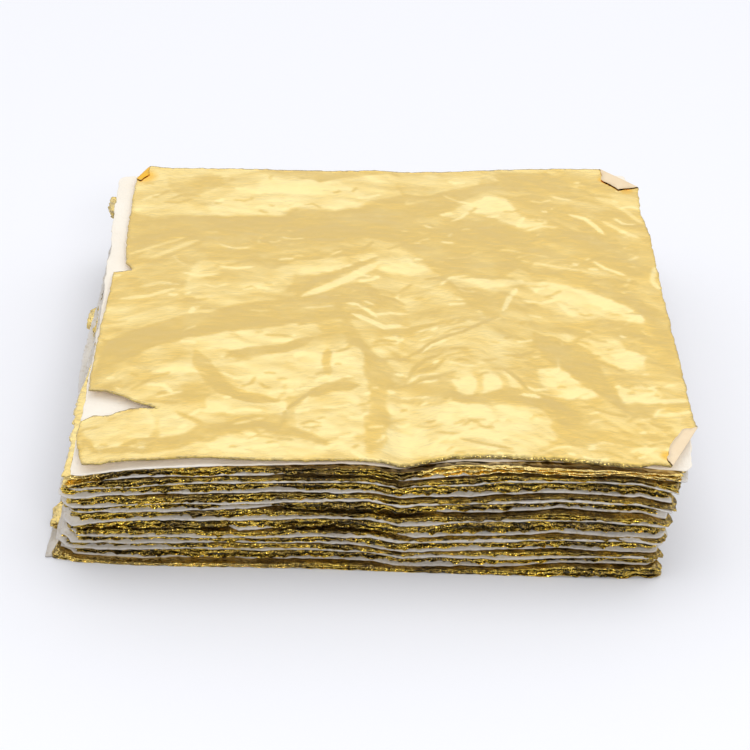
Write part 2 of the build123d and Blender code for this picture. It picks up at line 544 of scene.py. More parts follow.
def new_group(name, inputs, outputs):
    """An empty node group with its sockets, and its input and output nodes."""
    group = bpy.data.node_groups.new(name, "ShaderNodeTree")
    for label, kind in inputs:
        group.interface.new_socket(label, in_out="INPUT", socket_type="NodeSocket" + kind)
    for label, kind in outputs:
        group.interface.new_socket(label, in_out="OUTPUT", socket_type="NodeSocket" + kind)
    return group, group.nodes.new("NodeGroupInput"), group.nodes.new("NodeGroupOutput")


def noise_at(tree, place, scale, detail=2.0, rough=0.5, warp=0.0):
    """The value of a noise texture at a place, with scale in bumps per metre."""
    made = add(tree, "TexNoise", Scale=scale, Detail=detail, Roughness=rough, Distortion=warp)
    tree.links.new(place, made.inputs["Vector"])
    return made.outputs["Fac"]


def crinkle_group():
    """The height of tiny folds, drawn out from left to right."""
    group, given, out = new_group("fine crinkle", [("Place", "Vector")], [("Height", "Float")])
    stretched = add(group, "VectorMath")
    stretched.operation = "MULTIPLY"
    stretched.inputs[1].default_value = crinkle_stretch
    group.links.new(given.outputs["Place"], stretched.inputs[0])
    long_place = stretched.outputs["Vector"]
    folds = noise_at(group, long_place, fold_scale, 4, 0.62, 0.5)
    folds = sums(group, "ABSOLUTE", sums(group, "SUBTRACT", folds, 0.5), 0)
    cells = add(group, "TexVoronoi", Scale=cell_scale)
    cells.feature = "F1"
    group.links.new(given.outputs["Place"], cells.inputs["Vector"])
    grain = noise_at(group, long_place, grain_scale, 2, 0.6)
    total = sums(group, "MULTIPLY", folds, fold_share)
    total = sums(group, "ADD", total, sums(group, "MULTIPLY", cells.outputs["Distance"], cell_share))
    total = sums(group, "ADD", total, sums(group, "MULTIPLY", grain, grain_share))
    group.links.new(total, out.inputs["Height"])
    return group


def cloud_group():
    """A slow change between 0 and 1."""
    group, given, out = new_group("clouds", [("Place", "Vector"), ("Scale", "Float")], [("Cloud", "Float")])
    made = add(group, "TexNoise", Detail=4.0, Roughness=0.6)
    group.links.new(given.outputs["Place"], made.inputs["Vector"])
    group.links.new(given.outputs["Scale"], made.inputs["Scale"])
    spread = add(group, "MapRange", From_Min=cloud_edges[0], From_Max=cloud_edges[1])
    group.links.new(made.outputs["Fac"], spread.inputs["Value"])
    group.links.new(spread.outputs["Result"], out.inputs["Cloud"])
    return group


def fleck_group():
    """A sheet's rim value broken into flecks."""
    group, given, out = new_group("flecks", [("Rim", "Float"), ("Place", "Vector")], [("Mask", "Float")])
    broken = noise_at(group, given.outputs["Place"], fleck_scale, 3, 0.7)
    soft = add(group, "MapRange", From_Min=fleck_edges[0], From_Max=fleck_edges[1])
    soft.interpolation_type = "SMOOTHSTEP"
    group.links.new(broken, soft.inputs["Value"])
    mask = sums(group, "MULTIPLY", given.outputs["Rim"], soft.outputs["Result"])
    group.links.new(mask, out.inputs["Mask"])
    return group


def facet_group():
    """The height of crushed leaf, in facets of two sizes."""
    group, given, out = new_group("crushed facets", [("Place", "Vector")], [("Height", "Float")])
    total = None
    for scale, share in facet_scales:
        cells = add(group, "TexVoronoi", Scale=scale)
        cells.feature = "F1"
        group.links.new(given.outputs["Place"], cells.inputs["Vector"])
        part = sums(group, "MULTIPLY", cells.outputs["Distance"], share)
        total = part if total is None else sums(group, "ADD", total, part)
    group.links.new(total, out.inputs["Height"])
    return group


groups = {
    "crinkle": crinkle_group(),
    "cloud": cloud_group(),
    "flecks": fleck_group(),
    "facets": facet_group(),
}
print("node groups:", ", ".join(groups))

# %% [markdown]
# ## Putting a finish together
# There are three finishes: the gold, the underside of the top leaf and the papers. Each is a material
# that mixes a few tones by values kept on the mesh and by noise at the piece's own place. Painted pictures
# would do too, but noise needs no unwrapping and never repeats.

# %% Tones and helpers
# The first tone is a painted highlight, the paler gold of places that lean to the eye.
gold_highlight = (0.905, 0.735, 0.325, 1)
gold_tan = (0.780, 0.540, 0.135, 1)
gold_rim = (0.880, 0.620, 0.090, 1)
# The next two tones are painted shade: dark patches along the crushed rims, and the olive of the folds'
# turns and of the flecks of wear.
gold_shade = (0.300, 0.195, 0.045, 1)
olive_wear_and_shade = (0.050, 0.036, 0.008, 1)
peach_tone = (0.90, 0.73, 0.50, 1)
peach_deep = (0.83, 0.63, 0.39, 1)
# This orange gold is bare metal on the leaf's underside and a painted reflection on its top side.
bare_and_reflected_gold = (0.85, 0.50, 0.06, 1)
paper_tone = (0.985, 0.930, 0.830, 1)
paper_deep = (0.950, 0.870, 0.750, 1)
# The next two paper tones are painted shade, for the rims and for the undersides of the rims.
paper_rim_shade = (0.740, 0.720, 0.705, 1)
paper_under_shade = (0.420, 0.370, 0.310, 1)
dust_tone = (0.40, 0.29, 0.10, 1)


def finish(name):
    """A new material, its tree, its surface shader and the place on the piece."""
    material = bpy.data.materials.new(name)
    material.use_nodes = True
    tree = material.node_tree
    place = add(tree, "TexCoord").outputs["Object"]
    return material, tree, tree.nodes["Principled BSDF"], place


def kept_value(tree, label):
    """The number of that name kept on the mesh."""
    made = add(tree, "Attribute")
    made.attribute_name = label
    return made.outputs["Fac"]


def use(tree, group, **inputs):
    """A node group put into a tree, with numbers set and sockets linked by name."""
    made = tree.nodes.new("ShaderNodeGroup")
    made.node_tree = groups[group]
    for name, value in inputs.items():
        if isinstance(value, (int, float)):
            made.inputs[name].default_value = value
        else:
            tree.links.new(value, made.inputs[name])
    return made.outputs[0]


def blend(tree, share, first, second):
    """A colour between two colours or colour sockets."""
    made = add(tree, "Mix")
    made.data_type = "RGBA"
    tree.links.new(share, made.inputs["Factor"])
    for socket, value in ((made.inputs[6], first), (made.inputs[7], second)):
        if isinstance(value, tuple):
            socket.default_value = value
        else:
            tree.links.new(value, socket)
    return made.outputs[2]


def between(tree, value, low, high):
    """A value from 0 to 1 spread between low and high."""
    made = add(tree, "MapRange", To_Min=low, To_Max=high)
    tree.links.new(value, made.inputs["Value"])
    return made.outputs["Result"]


def raise_surface(tree, shader, height, depth):
    """A bump of that height, where 1 stands for depth millimetres."""
    bump = add(tree, "Bump", Distance=depth * millimetre)
    tree.links.new(height, bump.inputs["Height"])
    tree.links.new(bump.outputs["Normal"], shader.inputs["Normal"])


print("tones of gold:", gold_highlight[:3], gold_tan[:3])

# %% [markdown]
# ## The finish of the gold
# Leaf is metal: its colour is the colour of its mirror image, a pale yellow gold that a thin clear film
# whitens where it shines. A painted highlight is kept on the mesh as well: places that lean to the eye
# are painted a paler gold. At a crushed rim the metal is worn, and painted shade darkens it: dark olive
# flecks and dark brown patches break it up, and the deep turns inside its folds are painted darkest. A few
# spots under the turned corners are painted a deeper orange gold, a painted reflection of the gold over
# them.

# %% Gold leaf
gold_clouds = 110.0
gold_mottle = 0.4
shade_clouds = 85
shade_edges = (0.40, 0.60)
painted_shade_share = 0.92
gold_roughness = (0.12, 0.19)
gold_film = 0.5
film_roughness = 0.3
crush_height = 11.0
gold_relief = 0.052


def gold_finish():
    """Gold leaf, from clean with a painted highlight to crushed and darkened with painted shade."""
    material, tree, skin, place = finish("gold leaf")
    rim = kept_value(tree, "rim")
    painted_shade = kept_value(tree, "painted_shade")
    cloud = use(tree, "cloud", Place=place, Scale=gold_clouds)
    mottle = sums(tree, "MULTIPLY", sums(tree, "SUBTRACT", cloud, 0.5), gold_mottle)
    # Painted highlight: the kept value, with a little random mottle, moves the gold from tan to the paler
    # highlight tone.
    pale_and_highlight = sums(tree, "ADD", kept_value(tree, "pale_and_highlight"), mottle)
    # Painted reflection: orange gold at the spots under the turned corners.
    clean = blend(tree, kept_value(tree, "bare_and_reflection"), blend(tree, pale_and_highlight, gold_tan, gold_highlight), bare_and_reflected_gold)
    # Painted shade: slow noise darkens patches of each crushed rim to a dark brown gold.
    shade = add(tree, "MapRange", From_Min=shade_edges[0], From_Max=shade_edges[1])
    tree.links.new(noise_at(tree, place, shade_clouds, 4, 0.65, 0.3), shade.inputs["Value"])
    wear_and_shade = blend(tree, rim, clean, blend(tree, shade.outputs["Result"], gold_shade, gold_rim))
    # The flecks are wear and painted shade: the rim value breaks into dark olive spots.
    flecked = blend(tree, use(tree, "flecks", Rim=rim, Place=place), wear_and_shade, olive_wear_and_shade)
    # Painted shade: the turns inside the folds, and the top leaf's front edges and fold lines, are darkened
    # to olive.
    colour = blend(tree, sums(tree, "MULTIPLY", painted_shade, painted_shade_share), flecked, olive_wear_and_shade)
    tree.links.new(colour, skin.inputs["Base Color"])
    tree.links.new(between(tree, cloud, *gold_roughness), skin.inputs["Roughness"])
    skin.inputs["Metallic"].default_value = 1
    skin.inputs["Coat Weight"].default_value = gold_film
    skin.inputs["Coat Roughness"].default_value = film_roughness
    facets = use(tree, "facets", Place=place)
    crushed = sums(tree, "MULTIPLY", facets, sums(tree, "MULTIPLY", rim, crush_height))
    height = sums(tree, "ADD", use(tree, "crinkle", Place=place), crushed)
    raise_surface(tree, skin, height, gold_relief)
    return material


gold = gold_finish()
print("finish:", gold.name)

# %% [markdown]
# ## The finish of the leaf's underside
# Only the turned corners of the top leaf show it: peach, dull and a little cloudy, like a thin tissue. It
# takes the same tiny folds as the gold, because it is the other side of the same sheet. Where it is
# rubbed through, the value kept on the mesh turns it to bare metal.

# %% Peach tissue
tissue_clouds = 160.0
tissue_roughness = 0.45
tissue_relief = 0.05


def tissue_finish():
    """The dull peach underside of the top leaf."""
    material, tree, skin, place = finish("peach tissue")
    cloud = use(tree, "cloud", Place=place, Scale=tissue_clouds)
    bare_and_reflection = kept_value(tree, "bare_and_reflection")
    peach = blend(tree, cloud, peach_deep, peach_tone)
    tree.links.new(blend(tree, bare_and_reflection, peach, bare_and_reflected_gold), skin.inputs["Base Color"])
    tree.links.new(bare_and_reflection, skin.inputs["Metallic"])
    skin.inputs["Roughness"].default_value = tissue_roughness
    raise_surface(tree, skin, use(tree, "crinkle", Place=place), tissue_relief)
    return material


tissue = tissue_finish()
print("finish:", tissue.name)

# %% [markdown]
# ## The finish of the papers
# The papers are soft, uncoated and warm white. Painted shade greys their rims, handling rubs a little gold
# dust into them, and more painted shade darkens the undersides of the rims. The fibre is a fine rough
# relief, with hardly any shine.

# %% Soft paper
paper_clouds = 70.0
dust_share = 0.35
paper_roughness = (0.8, 0.95)
paper_shine = 0.2
fibre_scale = 1400
fibre_relief = 0.14


def paper_finish():
    """Soft warm white paper with a rim greyed by painted shade."""
    material, tree, skin, place = finish("soft paper")
    cloud = use(tree, "cloud", Place=place, Scale=paper_clouds)
    wear_and_shade = use(tree, "flecks", Rim=kept_value(tree, "rim"), Place=place)
    # Painted shade greys the rim.
    sheet = blend(tree, kept_value(tree, "rim"), blend(tree, cloud, paper_deep, paper_tone), paper_rim_shade)
    # Painted shade darkens the undersides of the rims, and the tops of the lower papers' rims.
    sheet = blend(tree, kept_value(tree, "under_shade"), sheet, paper_under_shade)
    dusty = blend(tree, sums(tree, "MULTIPLY", wear_and_shade, dust_share), sheet, dust_tone)
    tree.links.new(dusty, skin.inputs["Base Color"])
    tree.links.new(between(tree, cloud, *paper_roughness), skin.inputs["Roughness"])
    skin.inputs["Specular IOR Level"].default_value = paper_shine
    raise_surface(tree, skin, noise_at(tree, place, fibre_scale, 4, 0.7), fibre_relief)
    return material


paper = paper_finish()
print("finish:", paper.name)

# %% [markdown]
# ## How the pile lies
# Each paper follows the pile's long waves, and its loose rim sways up or down by itself, so that the
# gaps between papers open and close. Close neighbours ripple alike and far ones don't. A cloth simulation
# could pile the sheets up, but it wouldn't give the gaps of this pack.

# %% The ripples of the pile
wave_size = 24.0
wave_height = 0.34
wave_memory = 4.5
wave_terms = ((1.0, 1.0, 11), (0.5, 2.3, 21))
second_seed = 5


def pile_wave(x, y, level):
    """How the sheets at one level ripple: close neighbours ripple alike, far ones don't."""
    phase = level / wave_memory
    total = 0
    for share, finer, seed in wave_terms:
        size = wave_size / finer
        one, two = soft_noise(x, y, size, seed), soft_noise(x, y, size, seed + second_seed)
        total = total + share * (one * math.cos(phase) + two * math.sin(phase))
    return wave_height * total


middle_ripples = [round(float(pile_wave(0.0, 0.0, level)), 2) for level in (0, 10, 20)]
print("ripple in the middle at three levels:", middle_ripples)

# %% [markdown]
# Along the front the height of each paper but the lowest and the top one is read off the picture, as the
# row of pixels in which its rim lies in a few columns. The rim of a lower paper lies a little behind the
# top one's, most at the left, so each row is carried to that paper's own front line.

# %% The level of each paper
paper_half = 71.5
paper_thickness = 0.98
paper_bulk = 0.50
ripple_size = 6.5
ripple_height = 0.14
sway_size = 46.0
sway_height = 0.75
jog_size = 15.0
jog_height = 0.36
sway_reach = 16.0
settle_height = 7.0
settle_least = 0.15
paper_seed = 1000
paper_seed_step = 40
ripple_seed = 4
sway_seed = 400
jog_seed = 700
sway_seed_step = 3
front_depth = 14.0
front_columns = (68, 100, 140, 200, 250, 320, 370, 400, 440, 500, 560, 600, 640, 662, 680)
front_rows = {
    12: (484, 479.5, 477.5, 477, 476, 475, 475, 482, 477, 472, 474, 475, 476.7, 480, 482),
    11: (491, 489.5, 487.5, 483, 482, 481.5, 482, 489, 486, 482.5, 482.5, 483.3, 484.7, 490, 495),
    10: (499, 497, 496, 493, 491, 491.5, 492, 498, 497, 493.7, 493.3, 494.2, 495.8, 501.5, 506),
    9: (508, 508, 505.5, 503.5, 502.5, 500.7, 501, 507, 505.5, 503, 501.7, 503.3, 505, 511, 515),
    8: (514, 513.5, 512.5, 510, 507.5, 511, 512, 517, 513.6, 512.5, 509.2, 512, 513.3, 519, 522),
    7: (524, 521.5, 519.5, 518.5, 518.5, 517.5, 520, 526, 524.5, 521.3, 521.7, 521.7, 525, 528, 530),
    6: (531, 530, 529, 529, 529.5, 529, 532, 538, 536.4, 535.8, 533.3, 535.8, 536.7, 538, 539),
    5: (535.5, 535.5, 536, 537, 538, 537, 539, 543.5, 543, 541.7, 540.8, 541.7, 542.5, 545.5, 546),
    4: (541, 541.5, 542.5, 543, 544, 543, 546, 551.5, 551, 550, 548.3, 550, 552.5, 554, 554),
    3: (547, 548, 548.5, 549, 550.5, 550, 553, 558.5, 557, 559.5, 556.7, 557.5, 558.3, 561, 561),
    2: (553, 555, 557, 558.5, 559.3, 559, 561, 566, 565, 566.5, 562.5, 563.7, 565, 566, 566),
}
top_easing = ((-70, 0.0), (-5, 0.1), (6, 0.5), (20, 0.3), (70, 0.3))
top_most_rise = 0.05
usual_wander = 0.45
lowest_set_back = 3.0
set_back_span = (-60, 65)


def set_back(number, x):
    """How far the front rims of the lower sheets lie behind the top one's: most at the left."""
    return np.interp(number, (1, pair_count), (lowest_set_back, 0)) * np.interp(x, set_back_span, (1, 0))


def front_of(number, x):
    """Where the front rim of a paper runs, from left to right, with the paper's own turn."""
    middle, turn = lies[paper_name(number)]
    return middle[1] + (x - middle[0]) * math.tan(turn) - paper_half + usual_wander + set_back(number, x)


def front_line(number):
    """The heights of a paper's front rim along the front, read off the picture."""
    spots = []
    for pixel in zip(front_columns, front_rows[number]):
        first = on_front(pixel, front_of(number, 0))
        spots.append(on_front(pixel, front_of(number, first.x)))
    return [spot.x for spot in spots], [spot.z for spot in spots]


front_lines = {number: front_line(number) for number in front_rows}
for number, (_, heights) in front_lines.items():
    print("paper", number, "front heights", np.round(heights, 1))


def rim_distance(name, half, x, y):
    """How far inside the rim of a sheet of that half side a place lies."""
    middle, _ = lies[name]
    return half - np.maximum(np.abs(x - middle[0]), np.abs(y - middle[1]))


def paper_level(number, x, y):
    """The height of the middle of a paper's bulk at places on the pack."""
    name = paper_name(number)
    floor = floors[name]
    level = float(floor(*lies[name][0]))
    own_ripple = soft_noise(x, y, ripple_size, paper_seed + ripple_seed + paper_seed_step * number)
    ripple = pile_wave(x, y, level) + ripple_height * own_ripple
    sway = sway_height * soft_noise(x, y, sway_size, sway_seed + sway_seed_step * number)
    sway = sway + jog_height * soft_noise(x, y, jog_size, jog_seed + sway_seed_step * number)
    loose = np.clip(1 - rim_distance(name, paper_half, x, y) / sway_reach, 0, 1)
    settle = settle_least + (1 - settle_least) * min(1, level / settle_height)
    plain = floor(x, y) + paper_thickness / 2
    at_front = np.clip(1 - (y - front_of(number, x)) / front_depth, 0, 1)
    rise = settle * (ripple + loose * (1 - at_front) * sway)
    if number in front_lines:
        return plain + rise + at_front * (np.interp(x, *front_lines[number]) - plain)
    if number == pair_count:
        return plain + np.minimum(rise, top_most_rise) - at_front * np.interp(x, *zip(*top_easing))
    return plain + rise


print("middle of the third paper:", round(float(paper_level(3, 0.0, 0.0)), 2), "mm up")

# %% [markdown]
# ## Papers
# A worn interleaf has a soft, rounded rim that wanders in and out and ripples up and down. Rows of
# points close to the rim carry the rounding: the sheet thins to nothing along a quarter of an ellipse.
# Some papers are drawn back in places along the front, by lengths that are read off the picture, and at
# the two sides they draw back by a length that depends on their level. The top paper's front rim is read
# off the picture whole. The lower a paper lies, the more painted shade darkens the top of its rim.

# %% The papers
paper_steps = (0.35, 0.5, 0.9, 0.5)
paper_corner = 4.0
paper_insets = (0.0, 0.05, 0.13, 0.28, 0.55, 1.1, 2.0, 3.6, 6.5)
paper_rounding = 0.34
rim_flatness = 0.97
paper_net = 4.0
rim_reach = 5.0
front_reach = 3.0
drawn_back = {
    12: ((-30, 0.2), (-12, 1.2), (0, 0.8), (8, 0.0), (30, 0.4)),
    8: ((-40, 0.4), (-28, 0.0), (-20, 2.2), (8, 2.4), (18, 0.3)),
    7: ((-70, -0.8), (-30, -0.3), (0, 0.0)),
    6: ((-66, 2.6), (-34, 2.4), (-29, -0.2), (-24, 0.2), (-16, 2.6), (2, 2.6), (12, 0.0)),
    1: ((-70, 1.2), (70, 1.2)),
}
right_levels = (1, 5, 10, 13)
right_drawn = (0.0, 1.4, 2.6, 2.6)
left_levels = (1, 2, 3, 5, 9, 10, 12, 13)
left_drawn = (0.0, 2.3, 2.5, 2.2, 0.8, 0.1, 0.3, -0.7)
top_front = (
    (68, 478), (80, 475), (100, 472), (140, 469), (200, 465.5), (250, 464.5), (320, 463.5), (370, 464.5),
    (386, 466), (400, 468), (412, 466.5), (425, 463), (440, 462), (500, 461.5), (560, 461), (600, 463),
    (650, 465), (672, 469), (700, 471),
)


def near_sides(x, y, half):
    """How near places are to the front, the right and the left side of a square, from 0 to 1."""
    return [np.clip(1 - inward / front_reach, 0, 1) for inward in (y + half, half - x, x + half)]


def top_paper_front():
    """How far the top paper's front rim lies in front of its middle, along the front."""
    name = paper_name(pair_count)
    middle, turn = lies[name]
    spots = []
    for pixel in top_front:
        level = floors[name](0.0, 0.0)
        for _ in range(4):
            spot = on_level(pixel, level)
            level = float(paper_level(pair_count, spot.x, spot.y))
        spots.append(spot[:2])
    x, y = put(np.array(spots) - middle, (0, 0), -turn).T
    return x, -y


front_calm = 0.55
top_rim_play = 0.3
top_rim_calm = 0.85
top_paper_wear_and_shade = 0.12
lowest_under_shade = 0.6
paper_wander = ((soft_noise, 0.65, 31, 7), (soft_noise, 0.5, 13, 0))
paper_fray = ((soft_noise, 0.22, 4.5, 1), (creased_noise, 0.14, 1.5, 2), (creased_noise, 0.09, 0.8, 9))
paper_plump = ((soft_noise, 0.25, 19, 3), (soft_noise, 0.22, 5, 8), (soft_noise, 0.16, 1.7, 11))
paper_fine = ((soft_noise, 0.09, 2.6, 5), (creased_noise, 0.06, 1.1, 6))
top_rim = top_paper_front()
print("the top paper's front rim lies out by", np.round(top_rim[1], 1))


def make_paper(number):
    """One paper as a closed sheet that rides its body."""
    name = paper_name(number)
    middle, turn = lies[name]
    seed = paper_seed + paper_seed_step * number
    rim = square_rim(paper_half, paper_corner, paper_steps)
    count = len(rim)
    x, y = rim.T
    at_front, at_right, at_left = near_sides(x, y, paper_half)
    wander = noise_sum(paper_wander, x, y, seed) * (1 - front_calm * at_front) - usual_wander
    wander = noise_sum(paper_fray, x, y, seed, wander)
    wander = wander - at_right * np.interp(number, right_levels, right_drawn)
    wander = wander - at_left * np.interp(number, left_levels, left_drawn)
    wander = wander - at_front * set_back(number, x)
    if number in drawn_back:
        wander = wander - at_front * np.interp(x, *zip(*drawn_back[number]))
    if number == pair_count:
        read_off = np.interp(x, *top_rim) - paper_half + top_rim_play
        wander = wander + at_front * (read_off - wander * top_rim_calm)
    loops = [rim * (1 + (wander - inset) / paper_half)[:, None] for inset in paper_insets]
    inner, inner_faces = net(loops[-1], paper_net, seed)
    outer = np.concatenate(loops[:-1])
    flat = np.concatenate([outer, inner])
    faces = np.concatenate([band(len(loops), count), inner_faces + len(outer)])
    inset = np.concatenate([np.repeat(paper_insets[:-1], count), np.full(len(inner), rim_reach)])
    inset[len(outer):len(outer) + count] = paper_insets[-1]
    across, along = put(flat, middle, turn).T
    x, y = flat.T
    plump = noise_sum(paper_plump, x, y, seed, 1)
    round_share = 1 - np.clip(inset / paper_rounding, 0, 1)
    thick = paper_bulk / 2 * plump * np.sqrt(1 - round_share ** 2 * rim_flatness)
    near_rim = np.clip(1 - inset / rim_reach, 0, 1)
    centre = paper_level(number, across, along) + near_rim * noise_sum(paper_fine, x, y, seed)
    if number == 1:
        centre = centre - (paper_thickness - paper_bulk) / 2
    top = np.stack([across, along, centre + thick], axis=1)
    bottom = np.stack([across, along, centre - thick], axis=1)
    # The rim value greys the rim with painted shade, least on the top paper.
    wear_and_shade = near_rim ** 3 * (top_paper_wear_and_shade if number == pair_count else 1)
    # Painted shade on the underside of each rim, and on the top of the rim the more the lower a paper lies.
    under_shade_share = lowest_under_shade * (1 - number / pair_count)
    values = {"rim": np.tile(wear_and_shade, 2), "under_shade": np.concatenate([wear_and_shade * under_shade_share, wear_and_shade])}
    sheet = shell(name + "_sheet", top, bottom, faces, faces, count, [paper], values)
    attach(sheet, name)
    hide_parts(name)
    return sheet


papers = [make_paper(number) for number in range(1, pair_count + 1)]
print("papers:", len(papers), "points in one:", len(papers[0].data.vertices))

# %% [markdown]
# ## Leaves inside the pack
# Beaten leaf tears raggedly, and the loose rim folds over and under itself. Each leaf's rim is therefore
# a zigzag of three layers in the gap between two papers: a top fold, a turn back inside, a lower fold, a
# second turn inside and the raw edge. Every line of it wanders by itself, and each layer is crushed into
# facets of three sizes. Only the rim shows until a paper is lifted. At the right half of the front the
# leaf under the top paper puffs up before it.

# %% The rim of an inner leaf
leaf_half = 70.0
leaf_corner = 2.0
leaf_steps = (0.25, 0.36, 0.8, 0.36)
leaf_skin = 0.05
leaf_net = 3.0
leaf_behind = 0.15
gap_play = 0.05
gap_least = 0.25
side_angles = (-180, -142, -128, -52, -38, 38, 52, 128, 142, 180)
side_reach = (-0.7, -0.7, 0.0, 0.0, -0.9, -0.9, 0.2, 0.2, -0.7, -0.7)
torn_edge, torn_turn, low_fold, fold_turn, top_fold = range(5)
leaf_rows = (
    (torn_edge, 0.0, 0.10), (torn_edge, -0.3, 0.13), (torn_turn, 0.2, 0.15), (torn_turn, 0.0, 0.24),
    (torn_turn, 0.2, 0.33), (low_fold, -0.3, 0.37), (low_fold, 0.0, 0.46), (low_fold, -0.2, 0.55),
    (fold_turn, 0.2, 0.58), (fold_turn, 0.0, 0.66), (fold_turn, 0.2, 0.74), (top_fold, -0.3, 0.78),
    (top_fold, 0.0, 0.86), (top_fold, -0.15, 0.94), (top_fold, -0.5, 0.97), (top_fold, -1.1, 0.95),
    (top_fold, -2.0, 0.90), (top_fold, -3.3, 0.80), (top_fold, -5.4, 0.62),
)
# Rows that are the turns inside the folds, darkened with painted shade.
painted_shade_rows = (2, 3, 4, 8, 9, 10)
wear_and_shade_row = 12
wear_and_shade_fade = 6
raw_past_top = 0.25
fold_turn_depth = 1.1
torn_turn_depth = 1.0
turn_play = 0.6
top_sway = ((soft_noise, 0.3, 18, 0), (soft_noise, 0.25, 6, 1))
top_teeth = ((creased_noise, 0.30, 2.0, 2), (creased_noise, 0.18, 0.9, 3))
low_teeth = ((soft_noise, 0.4, 11, 4), (creased_noise, 0.4, 1.6, 5))
raw_teeth = ((soft_noise, 0.6, 8, 6), (creased_noise, 0.5, 1.3, 7))
puff_depth = 3.0
puff_along = ((-2, 0.0), (4, 0.4), (12, 1.0), (60, 1.0), (68, 0.3))


def rim_lines(x, y, seed, reach, wild):
    """How far past a leaf's side its raw edge, its two inner turns and its two folds lie."""
    top = reach + wild * noise_sum(top_sway, x, y, seed)
    top = top + wild * noise_sum(top_teeth, x, y, seed)
    low = top + wild * noise_sum(low_teeth, x, y, seed)
    raw = top + wild * noise_sum(raw_teeth, x, y, seed)
    raw = np.minimum(raw, top + raw_past_top)
    first = np.minimum(top, low) - fold_turn_depth - turn_play * np.abs(soft_noise(x, y, 7, seed + 8))
    second = np.minimum(low, raw) - torn_turn_depth - turn_play * np.abs(soft_noise(x, y, 5, seed + 9))
    return raw, second, low, first, top


def gap_of(number, x, y):
    """The heights between which a leaf lies: on top of its own paper and under the next."""
    low = paper_level(number, x, y) + paper_bulk / 2 + gap_play
    high = paper_level(number + 1, x, y) - paper_bulk / 2 - gap_play
    if number == pair_count - 1:
        near_front = np.clip(1 - (y - front_of(number, x)) / puff_depth, 0, 1)
        high = high + near_front * np.interp(x, *zip(*puff_along))
    middle = (low + high) / 2
    reach = np.maximum(high - low, gap_least) / 2
    return middle - reach, middle + reach


spots = np.linspace(-60, 60, 7)
low, high = gap_of(6, spots, np.full(7, -70.0))
print("gap of the sixth leaf along the front:", np.round(high - low, 2))

# %% [markdown]
# Four leaves have a torn tab that sticks out past the papers. The plain sheet tells where: its points
# beyond the square are the tab. The whole folded rim is drawn out there along a smooth bump, and it has
# half the wear and painted shade.

# %% Tabs
tab_line = 1.2
tab_reach = 4.4
tab_half_length = 6.5
tab_fullness = 1.25
tab_cleanness = 0.5


def tab_of(name):
    """The side on which a plain leaf has its tab and the place along it, or nothing."""
    middle, turn = lies[name]
    points = np.array([v.co[:2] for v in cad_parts[name].data.vertices]) / millimetre
    local = put(points - middle, (0, 0), -turn)
    beyond = local[np.abs(local).max(axis=1) > leaf_half + tab_line]
    if not len(beyond):
        return None
    side = int(np.argmax(np.abs(beyond.mean(axis=0))))
    return side, float(np.sign(beyond[:, side].mean())), float(beyond[:, 1 - side].mean())


def tab_bump(tab, x, y):
    """How far a tab adds to a leaf's reach at points of its rim, from 0 to 1."""
    if tab is None:
        return np.zeros(len(x))
    side, sign, place = tab
    out, along = ((x, y), (y, x))[side]
    on_side = sign * out > leaf_half - tab_line
    bump = tab_fullness - tab_fullness * ((along - place) / tab_half_length) ** 2
    return np.where(on_side, np.clip(bump, 0, 1), 0)


tabs = {leaf_name(number): tab_of(leaf_name(number)) for number in range(1, pair_count)}
print("tabs:", {name: tab for name, tab in tabs.items() if tab})

# %% [markdown]
# The leaf is put together from the rows of its rim and a plain net inside. The lowest leaf has no paper
# under its front rim, because its own paper is drawn back, so there it hangs down to the table. The
# lowest and the twelfth leaf reach out further in places and are less crushed and less darkened with
# painted shade there, which is given round the leaf by the angle from its middle, with the front at -90
# degrees.

# %% The inner leaves
drape_start = 1.8
drape_length = 0.9
drape_floor = 0.06
wildness = {1: 0.15}
inner_pale = 0.3
clean_pale = 0.75
leaf_seed = 5000
leaf_seed_step = 80
crush_seed = 20
crush_seed_step = 10
gap_margin = 0.02
crush_terms = (
    (creased_noise, 0.11, 3.4, 0, 0.4),
    (creased_noise, 0.10, 1.7, 3, 1.1),
    (creased_noise, 0.08, 0.9, 6, 0.2),
)
extra_reach = {
    1: (
        (-180, -1.0), (-150, -2.5), (-140, -2.2), (-135, 0.8), (-132, 2.0), (-125, 2.2), (-100, 1.2),
        (-50, 0.8), (-40, 0.0), (180, -1.0),
    ),
    12: (
        (-180, 0.0), (-165, 1.0), (-155, 3.0), (-137, 3.3), (-130, 0.3), (-86, 0.2), (-80, 0.6),
        (-45, 0.6), (-35, 0.0), (180, 0.0),
    ),
}
# How much each rim is worn and darkened with painted shade, round the leaf.
rim_wear_and_shade = {
    1: ((-180, 1.0), (-136, 0.8), (-130, 0.5), (-110, 0.6), (-95, 1.0), (180, 1.0)),
    12: (
        (-180, 0.15), (-136, 0.15), (-131, 1.0), (-86, 1.0), (-80, 0.3), (-48, 0.3), (-40, 1.0),
        (150, 1.0), (180, 0.15),
    ),
}


